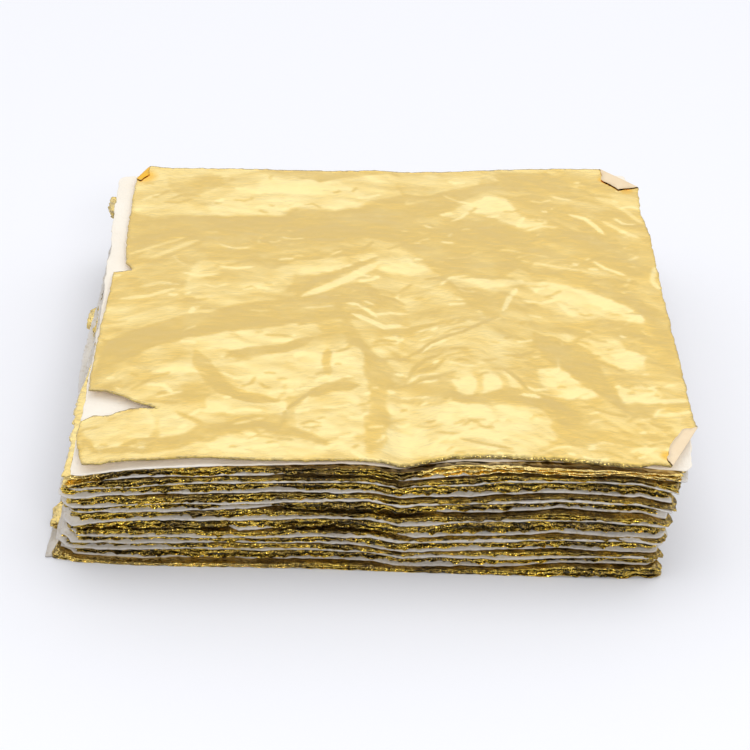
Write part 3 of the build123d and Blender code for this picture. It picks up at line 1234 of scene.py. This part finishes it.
def make_leaf(number):
    """One inner leaf as a closed sheet that rides its body."""
    name = leaf_name(number)
    middle, turn = lies[name]
    seed = leaf_seed + leaf_seed_step * number
    rim = square_rim(leaf_half, leaf_corner, leaf_steps)
    count = len(rim)
    x, y = rim.T
    bump = tab_bump(tabs[name], x, y)
    angle = np.degrees(np.arctan2(y, x))
    reach = np.interp(angle, side_angles, side_reach)
    at_front, at_right, at_left = near_sides(x, y, leaf_half)
    reach = reach - at_right * np.interp(number, right_levels, right_drawn)
    reach = reach - at_left * np.interp(number, left_levels, left_drawn)
    plain_x, plain_y = put(rim, middle, turn).T
    reach = reach + at_front * (plain_y - front_of(number, plain_x) - leaf_behind)
    if number in extra_reach:
        reach = reach + np.interp(angle, *zip(*extra_reach[number]))
    wear_and_shade_share = np.interp(angle, *zip(*rim_wear_and_shade[number])) if number in rim_wear_and_shade else np.ones(count)
    wear_and_shade_share = wear_and_shade_share * (1 - tab_cleanness * bump)
    lines = rim_lines(x, y, seed, reach, wildness.get(number, 1.0))
    beyond = [lines[line] + shift + tab_reach * bump for line, shift, _ in leaf_rows]
    loops = [rim * (1 + out / leaf_half)[:, None] for out in beyond]
    inner, inner_faces = net(loops[-1], leaf_net, seed)
    outer_count = count * (len(loops) - 1)
    flat = np.concatenate(loops[:-1] + [inner])
    faces = np.concatenate([band(len(loops), count), inner_faces + outer_count])
    inside = len(inner) - count
    row = np.concatenate([np.repeat(np.arange(len(loops)), count), np.full(inside, len(loops) - 1)])
    shares = np.array([share for _, _, share in leaf_rows])[row]
    lines_of = np.array([line for line, _, _ in leaf_rows])[row]
    x, y = flat.T
    layer_seeds = [seed + crush_seed + crush_seed_step * (line // 2) for line in range(5)]
    crumple = np.choose(lines_of, [noise_sum(crush_terms, x, y, layer_seed) for layer_seed in layer_seeds])
    across, along = put(flat, middle, turn).T
    low, high = gap_of(number, across, along)
    if number == 1:
        inside_paper = rim_distance(paper_name(1), paper_half, across, along)
        hang = np.clip((drape_start + set_back(1, across) - inside_paper) / drape_length, 0, 1)
        low = low * (1 - hang) + drape_floor * hang
    height = low + (high - low) * np.clip(shares + crumple, gap_margin, 1 - gap_margin)
    points = np.stack([across, along, height], axis=1)
    up_way = up_of(points, faces)
    wear_and_shade_share = np.concatenate([np.tile(wear_and_shade_share, len(loops)), np.zeros(inside)])
    # The rim value is wear with painted shade: the crushed rows are tinted darker.
    near_rim = np.clip(1 - (row - wear_and_shade_row) / wear_and_shade_fade, 0, 1) * wear_and_shade_share
    # Painted shade in the turns inside the folds.
    painted_shade = np.isin(row, painted_shade_rows) * wear_and_shade_share
    # Cleaner rim places get more of the paler tone, partly a painted highlight.
    pale_and_highlight = inner_pale + (clean_pale - inner_pale) * (1 - wear_and_shade_share)
    values = {"rim": np.tile(near_rim, 2), "painted_shade": np.tile(painted_shade, 2), "pale_and_highlight": np.tile(pale_and_highlight, 2)}
    top, bottom = points + up_way * leaf_skin / 2, points - up_way * leaf_skin / 2
    sheet = shell(name + "_sheet", top, bottom, faces, faces, count, [gold], values)
    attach(sheet, name)
    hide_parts(name)
    return sheet


leaves = [make_leaf(number) for number in range(1, pair_count)]
print("inner leaves:", len(leaves), "points in one:", len(leaves[0].data.vertices))

# %% [markdown]
# ## The folds of the top leaf
# This is the leaf that is seen whole. The light on it depends on how it leans: areas that lean to the eye
# shine, level ones and those that lean away are tan. So the folds are read off the picture as areas and
# as thin creases, each with a lean in steps, where 1 leans towards the eye and -1 away from it.

# %% Pixels on the top leaf
top_name = leaf_name(pair_count)
top_floor = floors[top_name]
top_lift = 0.30


def on_leaf(pixel, folds=None):
    """Where a pixel falls on the settled top leaf, in millimetres, with its folds if they are given."""
    level = top_floor(0.0, 0.0) + top_lift
    for _ in range(5):
        spot = on_level(pixel, level)
        level = float(top_floor(spot.x, spot.y)) + top_lift
        if folds is not None:
            level += float(look_up(folds, np.array([spot.x]), np.array([spot.y]))[0])
    return np.array(spot[:2])


print("the picture's middle on the top leaf:", np.round(on_leaf((375, 375)), 1))

# %% [markdown]
# The areas are given as outlines. Where two overlap, the later one counts.

# %% Areas that lean alike
areas = (
    (-0.35, ((480, 200), (560, 196), (600, 205), (645, 214), (668, 300), (640, 296), (600, 285),
        (540, 280), (500, 262), (480, 230))),
    (-0.3, ((128, 250), (200, 243), (215, 262), (196, 285), (150, 300), (104, 310), (113, 272))),
    (0.45, ((400, 300), (450, 300), (500, 322), (560, 335), (620, 345), (640, 360), (600, 350),
        (540, 345), (500, 350), (420, 350))),
    (1.1, ((205, 400), (228, 392), (262, 400), (285, 404), (284, 416), (262, 420), (235, 417), (210, 414))),
    (0.5, ((85, 450), (300, 446), (380, 448), (500, 445), (660, 450), (660, 466), (380, 466), (80, 466))),
    (0.7, ((130, 184), (150, 167), (250, 170), (270, 178), (345, 182), (375, 176), (400, 178), (400, 196),
        (372, 201), (356, 208), (330, 208), (290, 206), (284, 214), (240, 214), (200, 216), (160, 216),
        (130, 210))),
    (1.1, ((208, 206), (240, 190), (275, 180), (340, 184), (362, 196), (352, 206), (290, 205), (282, 213),
        (215, 214))),
    (0.0, ((165, 180), (210, 176), (235, 182), (205, 196), (185, 200), (172, 190))),
    (-0.8, ((262, 170), (400, 172), (400, 177), (360, 176), (342, 181), (320, 185), (302, 181),
        (280, 175))),
    (-1.0, ((128, 212), (160, 218), (200, 217), (240, 216), (286, 216), (292, 209), (330, 210),
        (362, 209), (376, 202), (402, 200), (402, 244), (350, 241), (300, 242), (240, 243), (196, 242),
        (150, 250), (126, 262))),
    (1.0, ((272, 270), (300, 262), (340, 259), (377, 256), (380, 260), (350, 270), (320, 274), (290, 275))),
    (0.5, ((200, 264), (250, 262), (292, 276), (290, 294), (230, 296), (196, 300), (180, 284))),
    (-0.9, ((193, 314), (230, 308), (262, 302), (300, 300), (322, 292), (345, 287), (362, 285),
        (377, 289), (380, 300), (370, 322), (300, 326), (262, 333), (200, 338), (150, 352), (125, 366),
        (98, 372), (103, 345), (130, 332), (165, 322))),
    (0.7, ((182, 341), (230, 335), (280, 330), (318, 326), (322, 336), (300, 345), (262, 350), (225, 352),
        (200, 349))),
    (0.9, ((150, 371), (185, 362), (190, 368), (182, 379), (160, 381))),
    (0.8, ((222, 366), (262, 360), (300, 352), (345, 345), (347, 378), (330, 386), (304, 395), (280, 402),
        (250, 398), (228, 390))),
    (1.2, ((240, 381), (262, 376), (300, 382), (300, 392), (270, 400), (245, 398))),
    (-0.9, ((176, 411), (190, 417), (205, 425), (240, 422), (262, 423), (285, 428), (302, 432),
        (318, 440), (331, 448), (316, 447), (298, 440), (283, 436), (262, 433), (235, 433), (208, 434),
        (198, 444), (180, 453), (105, 459), (103, 456), (135, 450), (165, 442), (190, 434), (200, 428),
        (185, 420))),
    (1.0, ((160, 421), (176, 414), (197, 427), (185, 436), (160, 441), (157, 430))),
    (1.0, ((84, 433), (100, 420), (152, 412), (156, 430), (150, 441), (118, 450), (104, 455), (95, 452))),
    (1.0, ((82, 428), (84, 420), (106, 416), (122, 417), (102, 428), (92, 434))),
    (1.0, ((214, 438), (262, 436), (300, 443), (324, 451), (330, 457), (225, 456), (208, 448))),
    (0.9, ((292, 412), (312, 400), (345, 393), (360, 400), (366, 438), (345, 446), (330, 444), (312, 437),
        (294, 430))),
    (-0.8, ((344, 316), (356, 328), (362, 345), (376, 356), (392, 372), (394, 388), (386, 402),
        (388, 430), (384, 457), (370, 457), (368, 430), (372, 404), (366, 386), (362, 366), (350, 352),
        (344, 338))),
    (0.8, ((345, 347), (360, 352), (366, 372), (366, 398), (350, 396), (345, 370))),
    (0.8, ((362, 340), (400, 336), (402, 350), (384, 354), (370, 350))),
    (1.0, ((390, 404), (440, 408), (540, 412), (552, 424), (560, 440), (540, 455), (430, 457), (402, 463),
        (388, 457))),
    (0.7, ((398, 302), (430, 292), (452, 297), (460, 308), (440, 318), (410, 320))),
    (0.6, ((378, 262), (400, 258), (425, 265), (440, 275), (446, 286), (420, 292), (395, 290), (380, 285))),
    (0.9, ((432, 361), (462, 352), (472, 362), (457, 376), (434, 375))),
    (1.3, ((452, 384), (458, 375), (470, 372), (476, 388), (474, 398), (462, 396))),
    (1.2, ((480, 374), (490, 372), (498, 380), (500, 391), (483, 396))),
    (0.9, ((503, 374), (512, 380), (528, 392), (508, 389))),
    (-0.9, ((441, 384), (456, 392), (464, 398), (490, 394), (506, 391), (530, 396), (541, 400),
        (540, 410), (500, 405), (470, 408), (449, 406))),
    (-0.75, ((400, 230), (430, 222), (460, 219), (490, 222), (512, 229), (546, 232), (590, 230),
        (652, 262), (650, 276), (600, 262), (520, 262), (500, 281), (448, 281), (436, 275), (425, 263),
        (400, 252))),
    (-0.9, ((492, 176), (545, 176), (562, 182), (572, 192), (584, 204), (560, 201), (535, 196),
        (514, 191), (500, 184))),
    (0.9, ((438, 216), (455, 210), (470, 204), (490, 198), (506, 200), (516, 210), (524, 218), (550, 221),
        (548, 226), (528, 228), (508, 224), (490, 214), (470, 212), (455, 218))),
    (0.6, ((400, 178), (440, 176), (480, 177), (478, 186), (450, 190), (430, 197), (404, 195))),
    (0.2, ((566, 174), (598, 172), (600, 186), (620, 194), (634, 192), (642, 214), (610, 212), (580, 190))),
    (1.2, ((449, 281), (522, 281), (524, 286), (500, 287), (478, 290), (462, 291), (455, 288))),
    (-0.9, ((453, 287), (463, 293), (480, 297), (506, 294), (511, 300), (504, 314), (498, 321),
        (486, 319), (470, 308), (458, 297))),
    (1.1, ((522, 283), (550, 286), (580, 292), (602, 300), (622, 308), (642, 320), (648, 327), (620, 322),
        (592, 314), (562, 302), (532, 294))),
    (0.9, ((552, 302), (580, 309), (602, 318), (590, 320), (566, 314))),
    (-0.7, ((528, 322), (560, 321), (602, 326), (640, 330), (664, 340), (676, 376), (655, 362),
        (630, 348), (600, 336), (560, 334), (533, 331))),
    (-0.8, ((580, 283), (600, 288), (622, 290), (642, 300), (668, 330), (676, 352), (681, 380),
        (668, 376), (655, 340), (640, 318), (622, 306), (600, 298), (586, 291))),
    (-1.0, ((530, 331), (546, 340), (575, 345), (586, 350), (596, 360), (606, 378), (616, 392),
        (620, 411), (607, 406), (590, 393), (575, 384), (562, 375), (546, 362), (536, 346))),
    (1.1, ((537, 372), (560, 372), (575, 385), (594, 394), (598, 399), (570, 402), (548, 392), (538, 382))),
    (1.0, ((590, 353), (625, 350), (646, 358), (641, 371), (612, 368))),
    (1.0, ((612, 387), (650, 386), (662, 397), (655, 406), (622, 404))),
    (-1.1, ((540, 398), (556, 400), (571, 412), (581, 421), (577, 430), (570, 434), (560, 428),
        (551, 414))),
    (0.3, ((586, 424), (640, 416), (690, 414), (672, 440), (640, 440), (600, 434))),
)
print("areas read off the picture:", len(areas))

# %% [markdown]
# Creases are narrow: a line of spots, a width in millimetres and a lean.

# %% Creases
creases = (
    (0.6, 1.6, ((150, 259), (175, 250), (200, 241))),
    (0.45, 1.4, ((128, 256), (160, 246), (188, 238))),
    (-0.9, 1.2, ((155, 262), (180, 252), (205, 243))),
    (-1.2, 2.2, ((297, 298), (305, 290), (318, 280), (340, 274), (376, 260))),
    (1.2, 2.6, ((302, 298), (325, 289), (350, 279), (380, 264))),
    (1.6, 1.4, ((190, 314), (194, 309), (201, 308))),
    (1.5, 1.3, ((346, 305), (360, 307), (370, 314), (377, 319))),
    (1.4, 1.8, ((352, 316), (368, 322), (384, 329), (401, 327))),
    (-0.9, 4.0, ((226, 359), (250, 354), (285, 351), (313, 341))),
    (-0.9, 4.4, ((196, 353), (206, 371), (216, 385), (226, 393), (250, 400), (278, 403))),
    (-0.8, 4.2, ((308, 398), (330, 390), (358, 388))),
    (-3.0, 0.9, ((287, 411), (300, 402), (317, 391))),
    (-2.4, 0.8, ((285, 412), (284, 420), (283, 429))),
    (-0.7, 2.0, ((328, 352), (326, 365), (329, 378))),
    (-0.6, 2.6, ((403, 331), (440, 327), (482, 319))),
    (-2.4, 0.8, ((418, 353), (430, 345), (446, 339), (462, 335), (480, 327), (500, 319))),
    (1.6, 0.8, ((421, 355), (432, 347), (448, 342))),
    (-1.6, 1.1, ((404, 390), (420, 384), (438, 379), (454, 374))),
    (-1.4, 1.2, ((408, 382), (415, 370), (425, 362), (442, 356))),
    (1.7, 1.3, ((517, 290), (509, 300), (503, 313))),
    (0.7, 1.3, ((520, 262), (560, 270), (600, 276))),
    (1.3, 1.2, ((592, 263), (604, 270), (626, 277))),
    (1.4, 1.5, ((568, 216), (585, 220), (595, 227), (604, 235))),
    (0.9, 1.4, ((602, 222), (620, 231), (640, 239))),
    (0.8, 1.4, ((610, 203), (628, 214), (642, 224))),
    (-0.8, 4.6, ((390, 213), (420, 208), (445, 203), (470, 194), (496, 185))),
    (-0.7, 2.2, ((604, 378), (640, 380), (682, 384))),
    (-2.4, 1.0, ((503, 371), (516, 380), (528, 393))),
    (2.0, 1.2, ((521, 398), (530, 398), (541, 400))),
    (-1.3, 1.5, ((612, 410), (640, 411), (670, 410), (692, 408))),
    (1.3, 1.8, ((638, 403), (665, 405), (690, 403))),
    (-0.6, 2.4, ((570, 438), (600, 441), (642, 450))),
    (1.0, 1.6, ((120, 300), (150, 297), (175, 290))),
    (0.8, 1.4, ((140, 288), (160, 284), (180, 286))),
    (1.0, 1.5, ((232, 452), (252, 446), (280, 450))),
    (1.2, 1.5, ((655, 268), (652, 282), (660, 290))),
    (-1.5, 0.9, ((460, 441), (490, 447), (512, 451))),
    (-1.8, 0.8, ((82, 443), (90, 450), (97, 457))),
)
print("creases read off the picture:", len(creases))

# %% [markdown]
# The leans are painted on a fine grid over the leaf. Noise bends the outlines of the areas, so that none
# ends in a clean line, and short curved wrinkles, too many to read off, are added by seeded chance. The
# leaf's height is the surface that rises as the leans say, while it stays as level as it can from left
# to right. Such a surface has an exact answer when the leans are seen as a sum of waves, because each
# wave's height follows from its own lean.

# %% From leans to a height
grid_step = 0.4
grid_half = 80.0
lean_step = 2.6
cross_pull = 0.03
plain_lean = 0.05
wild_lean = 0.4
wisp_lean = 0.5
wisp_slant = 0.35
wisp_bend = 1.4
rear_lean = 1.3
crease_softness = 0.3
edge_play = 0.9
wrinkle_seed = 4242
wrinkle_count = 520
shortest_wrinkle = 2.0
longest_wrinkle = 11.0
wrinkle_width = 0.42
wrinkle_leans = (0.6, 1.8)
wrinkle_turn = (0.15, 0.45)
wrinkle_bend = 0.5
wrinkle_taper = 6
wrinkle_front = -0.97
wrinkle_spread = (1.95, 1.9)
wrinkle_crowding = (1.5, 1.4)
wrinkle_margin = 1
sink_share = 4
deepest = -0.35
broad_terms = ((wild_lean, 0.6, 11, 901, 0.5), (wild_lean, 0.5, 4.5, 911, 0.2))
area_terms = ((0.35, 0.5, 6, 921, 0.3), (0.25, 0.4, 2.6, 931, 0.1))
wisp_terms = ((0.8, 0.45, 1.3, 941, 0.0), (1.0, 0.4, 2.9, 951, 0.0))
edge_shift_x = ((soft_noise, 1.0, 6, 971), (creased_noise, 0.5, 2.2, 973))
edge_shift_y = ((soft_noise, 1.0, 5, 975), (creased_noise, 0.5, 2.0, 977))


def long_creases(terms, x, y, total=0):
    """A total with creased noises added that are drawn out from left to right."""
    for height, stretch, size, seed, turn in terms:
        total = total + height * creased_noise(x * stretch, y, size, seed, turn)
    return total


def inside(x, y, loop):
    """Which places lie inside a closed loop of spots."""
    hit = np.zeros(x.shape, bool)
    for (ax, ay), (bx, by) in zip(loop, np.roll(loop, -1, axis=0)):
        if ay != by:
            hit ^= ((ay > y) != (by > y)) & (x < ax + (y - ay) / (by - ay) * (bx - ax))
    return hit


def near_line(x, y, line):
    """The distance of places from a line of spots, and how far along it they are as a share."""
    lengths = np.linalg.norm(np.diff(line, axis=0), axis=1)
    travel = np.concatenate([[0], np.cumsum(lengths)])
    far = np.full(x.shape, np.inf)
    share = np.zeros(x.shape)
    for a, way, length, start in zip(line, np.diff(line, axis=0), lengths, travel):
        t = np.clip(((x - a[0]) * way[0] + (y - a[1]) * way[1]) / length ** 2, 0, 1)
        here = np.hypot(x - a[0] - t * way[0], y - a[1] - t * way[1])
        share = np.where(here < far, (start + t * length) / travel[-1], share)
        far = np.minimum(far, here)
    return far, share


def smoothed(grid):
    """The grid with each value drawn a little towards its neighbours."""
    for axis in (0, 1):
        grid = (np.roll(grid, 1, axis) + 2 * grid + np.roll(grid, -1, axis)) / 4
    return grid


def surface_of(slope):
    """The surface whose rise from front to rear follows the slope."""
    wave = 2 * math.pi * np.fft.fftfreq(len(slope), grid_step)
    along, across = wave[:, None], wave[None, :]
    weight = along ** 2 + cross_pull * across ** 2
    weight[0, 0] = 1
    return np.real(np.fft.ifft2(-1j * along * np.fft.fft2(slope) / weight))


def wrinkled(lean, line):
    """The leans with short curved wrinkles added by chance, most of them at the front and the right."""
    chance = np.random.default_rng(wrinkle_seed)
    for _ in range(wrinkle_count):
        u, v, w, bend = chance.random(4)
        from_right = 1 - wrinkle_spread[0] * u ** wrinkle_crowding[0]
        from_front = wrinkle_front + wrinkle_spread[1] * v ** wrinkle_crowding[1]
        start = np.array([leaf_half * from_right, leaf_half * from_front])
        length = shortest_wrinkle + (longest_wrinkle - shortest_wrinkle) * w ** 2
        turn = chance.normal(*wrinkle_turn)
        way = np.array([math.cos(turn), math.sin(turn)]) * length
        side = np.array([-way[1], way[0]]) * (bend - 0.5) * wrinkle_bend
        spots = np.array([start, start + way / 2 + side, start + way])
        value = chance.choice((-1, 1)) * chance.uniform(*wrinkle_leans)
        least, most = spots.min(axis=0) - wrinkle_margin, spots.max(axis=0) + wrinkle_margin
        columns, rows = (slice(*np.searchsorted(line, ends)) for ends in zip(least, most))
        x, y = np.meshgrid(line[columns], line[rows])
        far, share = near_line(x, y, spots)
        taper = np.minimum(1, wrinkle_taper * np.minimum(share, 1 - share))
        lean[rows, columns] += value * taper * np.clip(1.5 - far / wrinkle_width, 0, 1)
    return lean


def leaf_heights():
    """The height of the folded leaf over the grid, and its leans."""
    line = np.arange(-grid_half, grid_half, grid_step)
    x, y = np.meshgrid(line, line)
    lean = long_creases(broad_terms, x, y, plain_lean)
    wild = long_creases(area_terms, x, y)
    shifted_x = x + edge_play * noise_sum(edge_shift_x, x, y, 0)
    shifted_y = y + edge_play * noise_sum(edge_shift_y, x, y, 0)
    for value, spots in areas:
        here = inside(shifted_x, shifted_y, np.array([on_leaf(p) for p in spots]))
        lean = np.where(here, value + wild, lean)
    slant = -wisp_slant * x / grid_half
    along = x * np.cos(slant) + y * np.sin(slant)
    across = y * np.cos(slant) - x * np.sin(slant)
    across = across + wisp_bend * soft_noise(x, y, 9, 961)
    lean = smoothed(lean + wisp_lean * long_creases(wisp_terms, along, across))
    for value, width, spots in creases:
        far, share = near_line(x, y, np.array([on_leaf(p) for p in spots]))
        reach = width / 2 * np.minimum(1, 0.25 + 5 * np.minimum(share, 1 - share))
        mask = np.clip((reach - far) / crease_softness + 0.5, 0, 1)
        lean = lean * (1 - mask) + value * mask
    lean = wrinkled(lean, line)
    height = surface_of(np.tan(np.radians(lean * lean_step)))
    height = height + math.tan(math.radians(rear_lean)) * y ** 2 / (2 * leaf_half)
    middle = height[np.abs(line) < leaf_half][:, np.abs(line) < leaf_half]
    return np.maximum(height - np.percentile(middle, sink_share), deepest), lean


def look_up(grid, x, y):
    """The value of the grid at places between its points."""
    column = (x + grid_half) / grid_step
    row = (y + grid_half) / grid_step
    i, j = np.floor(column).astype(int), np.floor(row).astype(int)
    u, v = column - i, row - j
    near = grid[j, i] * (1 - u) + grid[j, i + 1] * u
    far = grid[j + 1, i] * (1 - u) + grid[j + 1, i + 1] * u
    return near * (1 - v) + far * v


folded, leans = leaf_heights()
print("the leaf's folds rise from", round(float(folded.min()), 2), "to", round(float(folded.max()), 2), "mm")

# %% [markdown]
# ## The top leaf's outline
# Its outline, with the notch and the long tear at the left, is read off the picture, on the folded
# surface. Three corners are turned over along fold lines.

# %% The outline
front_edge = (
    (81, 465), (100, 464), (112, 462), (150, 460), (205, 458), (300, 461), (370, 461), (385, 462),
    (400, 466), (410, 465), (425, 461), (450, 457), (500, 456), (540, 458), (600, 462), (640, 466),
    (655, 464),
)
right_edge = ((693, 415), (655, 260), (650, 235), (641, 215))
rear_edge = ((560, 169), (500, 170), (450, 172), (400, 172), (330, 171), (250, 169), (200, 168), (170, 168))
left_edge = (
    (134, 190), (130, 215), (127, 234), (126, 263), (133, 270), (113, 272), (109, 295), (101, 325),
    (93, 364), (88, 391), (103, 391), (121, 396), (134, 402), (157, 408), (130, 408), (109, 416),
    (93, 416), (80, 421), (76, 440), (78, 452),
)
turned_corners = (
    ((672, 467), (697, 428), ((666, 459), (668, 446), (681, 430))),
    ((638, 188), (600, 170), ((617, 191), (600, 181))),
    ((151, 166), (137, 179), ((151, 175), (142, 181))),
)


def mirrored(points, start, end):
    """Points on the other side of the line from start to end."""
    way = (end - start) / np.linalg.norm(end - start)
    return [start + 2 * np.dot(p - start, way) * way - (p - start) for p in points]


corners = []
for start, end, free in turned_corners:
    start, end = on_leaf(start, folded), on_leaf(end, folded)
    corners.append((start, end, mirrored([on_leaf(p, folded) for p in free], start, end)))
outline = []
for edge, corner in zip((front_edge, right_edge, rear_edge, left_edge), [*corners, None]):
    outline += [on_leaf(p, folded) for p in edge]
    if corner:
        start, end, free = corner
        outline += [start, *free, end]
outline = np.array(outline)
print("top leaf:", np.round(outline.min(axis=0), 1), "to", np.round(outline.max(axis=0), 1))

# %% [markdown]
# The outline between the spots is torn: small teeth of two sizes push it in and out.

# %% The torn rim
tear_step = 0.4
tear_seed = 77
tear_teeth = ((creased_noise, 0.22, 1.7, 0), (creased_noise, 0.10, 0.8, 9))


def torn(outline, step, seed):
    """The outline with small teeth, at points one step apart."""
    closed = np.concatenate([outline, outline[:1]])
    lengths = np.linalg.norm(np.diff(closed, axis=0), axis=1)
    travel = np.concatenate([[0], np.cumsum(lengths)])
    at = np.arange(0, travel[-1], step)
    x = np.interp(at, travel, closed[:, 0])
    y = np.interp(at, travel, closed[:, 1])
    way = np.stack([np.roll(x, -1) - np.roll(x, 1), np.roll(y, -1) - np.roll(y, 1)], axis=1)
    way = way / np.linalg.norm(way, axis=1, keepdims=True)
    teeth = noise_sum(tear_teeth, x, y, seed)
    return np.stack([x + way[:, 1] * teeth, y - way[:, 0] * teeth], axis=1)


rim = torn(outline, tear_step, tear_seed)
print("points round the top leaf:", len(rim))

# %% [markdown]
# ## Making the top leaf
# The top side gets a fine net of points that carries the folds, the underside a coarser one. A turned
# corner is the flat sheet rolled over a small radius along its fold line, and then lying a little open,
# with closer rows of points where it bends. The sheet's front rim droops a little, most at the right.
# Each place is also given its wear, with painted shade along edges that face the front and along the
# fold lines, a paler gold as a painted highlight where it leans to the eye, and, at a few spots under
# the turned corners, a painted orange reflection on the top side and bare metal on the underside.

# %% The top leaf
top_net = 0.5
under_net = 1.4
top_skin = 0.08
corner_radius = 0.12
corner_slope = 0.02
fold_rows = (-0.35, 0.0, 0.13, 0.26, 0.39, 0.8)
fold_step = 0.4
fold_dark = 0.75
fold_line = 0.35
speck_reach = 0.8
front_wear_and_shade = 0.6
side_wear = 0.2
dark_reach = 0.6
lip_depth = 0.45
lip_along = ((-66, 0.0), (-55, 0.2), (4, 0.3), (12, 0.9), (60, 0.9), (66, 0.3))
# Spots under the turned corners: on the top side a painted reflection, an orange glow of the gold over them;
# on the underside bare metal.
reflection_spots = (((144, 176), 4.5), ((668, 456), 2.2), ((603, 180), 1.8), ((626, 191), 2.2))
bare_flaps = (((144, 174), 6.0),)
leaf_ripples = ((0.05, 0.6, 4.2, 941, 0.2), (0.02, 0.7, 2.0, 951, 0.6))
# How the leans of the top leaf become its painted highlight.
highlight_least = 0.34
highlight_gain = 0.5
highlight_curve = 1.5
top_seed = 5
under_seed = 6


def roll_over(beyond, radius, slope):
    """How far out and how far up a point lies that was that far beyond a fold line."""
    bend = np.clip(beyond / radius, 0, math.pi)
    past = np.maximum(0, beyond - math.pi * radius)
    return np.minimum(beyond, 0) + radius * np.sin(bend) - past, radius * (1 - np.cos(bend)) + past * slope


def fold_frame(corner):
    """A corner's fold line: where it starts, its direction, its length and the way outward."""
    start, end, free = corner
    length = np.linalg.norm(end - start)
    way = (end - start) / length
    outward = np.array([way[1], -way[0]])
    if np.dot(free[0] - start, outward) < 0:
        outward = -outward
    return start, way, length, outward


def fold_points():
    """Places in close rows along the fold lines, where the leaf bends most."""
    spots = []
    for start, way, length, outward in map(fold_frame, corners):
        for beyond in fold_rows:
            for along in np.arange(0, length, fold_step):
                spots.append((start + along * way + beyond * outward).tolist())
    return spots


def turn_corners(points):
    """Where flat points lie with the corners turned over, their lift and how far past a fold they were."""
    placed = points.copy()
    lift = np.zeros(len(points))
    past_fold = np.full(len(points), -leaf_half)
    for start, _, _, outward in map(fold_frame, corners):
        beyond = (points - start) @ outward
        out, up = roll_over(beyond, corner_radius, corner_slope)
        turned_over = beyond > 0
        placed[turned_over] += np.outer((out - beyond)[turned_over], outward)
        lift[turned_over] += up[turned_over]
        past_fold = np.maximum(past_fold, beyond)
    return placed, lift, past_fold


def top_side(loop, spacing, seed, bare_and_reflection_places):
    """The points and triangles of one side of the top leaf, and each point's wear and painted shade, painted
    highlight, and bare metal and painted reflection.
    """
    flat, faces = net(loop, spacing, seed, fold_points())
    near = nearest_on(loop)
    found = [near.find((*p, 0)) for p in flat.tolist()]
    far = np.array([distance for _, _, distance in found])
    way = np.roll(loop, -2, axis=0) - np.roll(loop, 2, axis=0)
    facing = np.clip(way[:, 0] / np.linalg.norm(way, axis=1), 0, 1)[[i for _, i, _ in found]]
    # Wear specks near the outline, with painted shade added where an edge faces the front.
    wear_and_shade = np.clip(1 - far / speck_reach, 0, 1) * (side_wear + (front_wear_and_shade - side_wear) * facing)
    # Painted shade: a dark line along edges that face the front, and along the fold lines of the turned
    # corners.
    painted_edge_shade = np.clip(1 - far / dark_reach, 0, 1) * facing
    placed, lift, past_fold = turn_corners(flat)
    painted_edge_shade = np.maximum(painted_edge_shade, fold_dark * np.clip(1 - np.abs(past_fold) / fold_line, 0, 1))
    x, y = placed.T
    fine = long_creases(leaf_ripples, x, y)
    lip = np.clip(1 - far / lip_depth, 0, 1) * facing ** 4 * np.interp(x, *zip(*lip_along)) * (lift == 0)
    height = top_floor(x, y) + top_lift + look_up(folded, x, y) + fine + lift - lip
    # Painted highlight: places that lean to the eye are painted a paler gold.
    pale_and_highlight = np.clip(highlight_least + highlight_gain * look_up(leans, x, y), 0, 1) ** highlight_curve
    # On the top side these spots are a painted reflection of gold under a turned corner; on the underside
    # they are bare metal.
    bare_and_reflection = np.zeros(len(flat))
    for pixel, reach in bare_and_reflection_places:
        spot = on_leaf(pixel, folded)
        bare_and_reflection = np.maximum(bare_and_reflection, np.clip(2 - 2 * np.hypot(x - spot[0], y - spot[1]) / reach, 0, 1))
    return np.column_stack([placed, height]), faces, {"rim": wear_and_shade, "painted_shade": painted_edge_shade, "pale_and_highlight": pale_and_highlight, "bare_and_reflection": bare_and_reflection}


top_points, top_faces, top_values = top_side(rim, top_net, top_seed, reflection_spots)
under_points, under_faces, under_values = top_side(rim, under_net, under_seed, bare_flaps)
top_points += up_of(top_points, top_faces) * top_skin / 2
under_points -= up_of(under_points, under_faces) * top_skin / 2
top_sheet = shell(
    top_name + "_sheet", top_points, under_points, top_faces, under_faces, len(rim), [gold, tissue],
    {label: np.concatenate([top_values[label], under_values[label]]) for label in top_values},
)
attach(top_sheet, top_name)
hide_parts(top_name)
print("top leaf's triangles:", len(top_sheet.data.polygons))
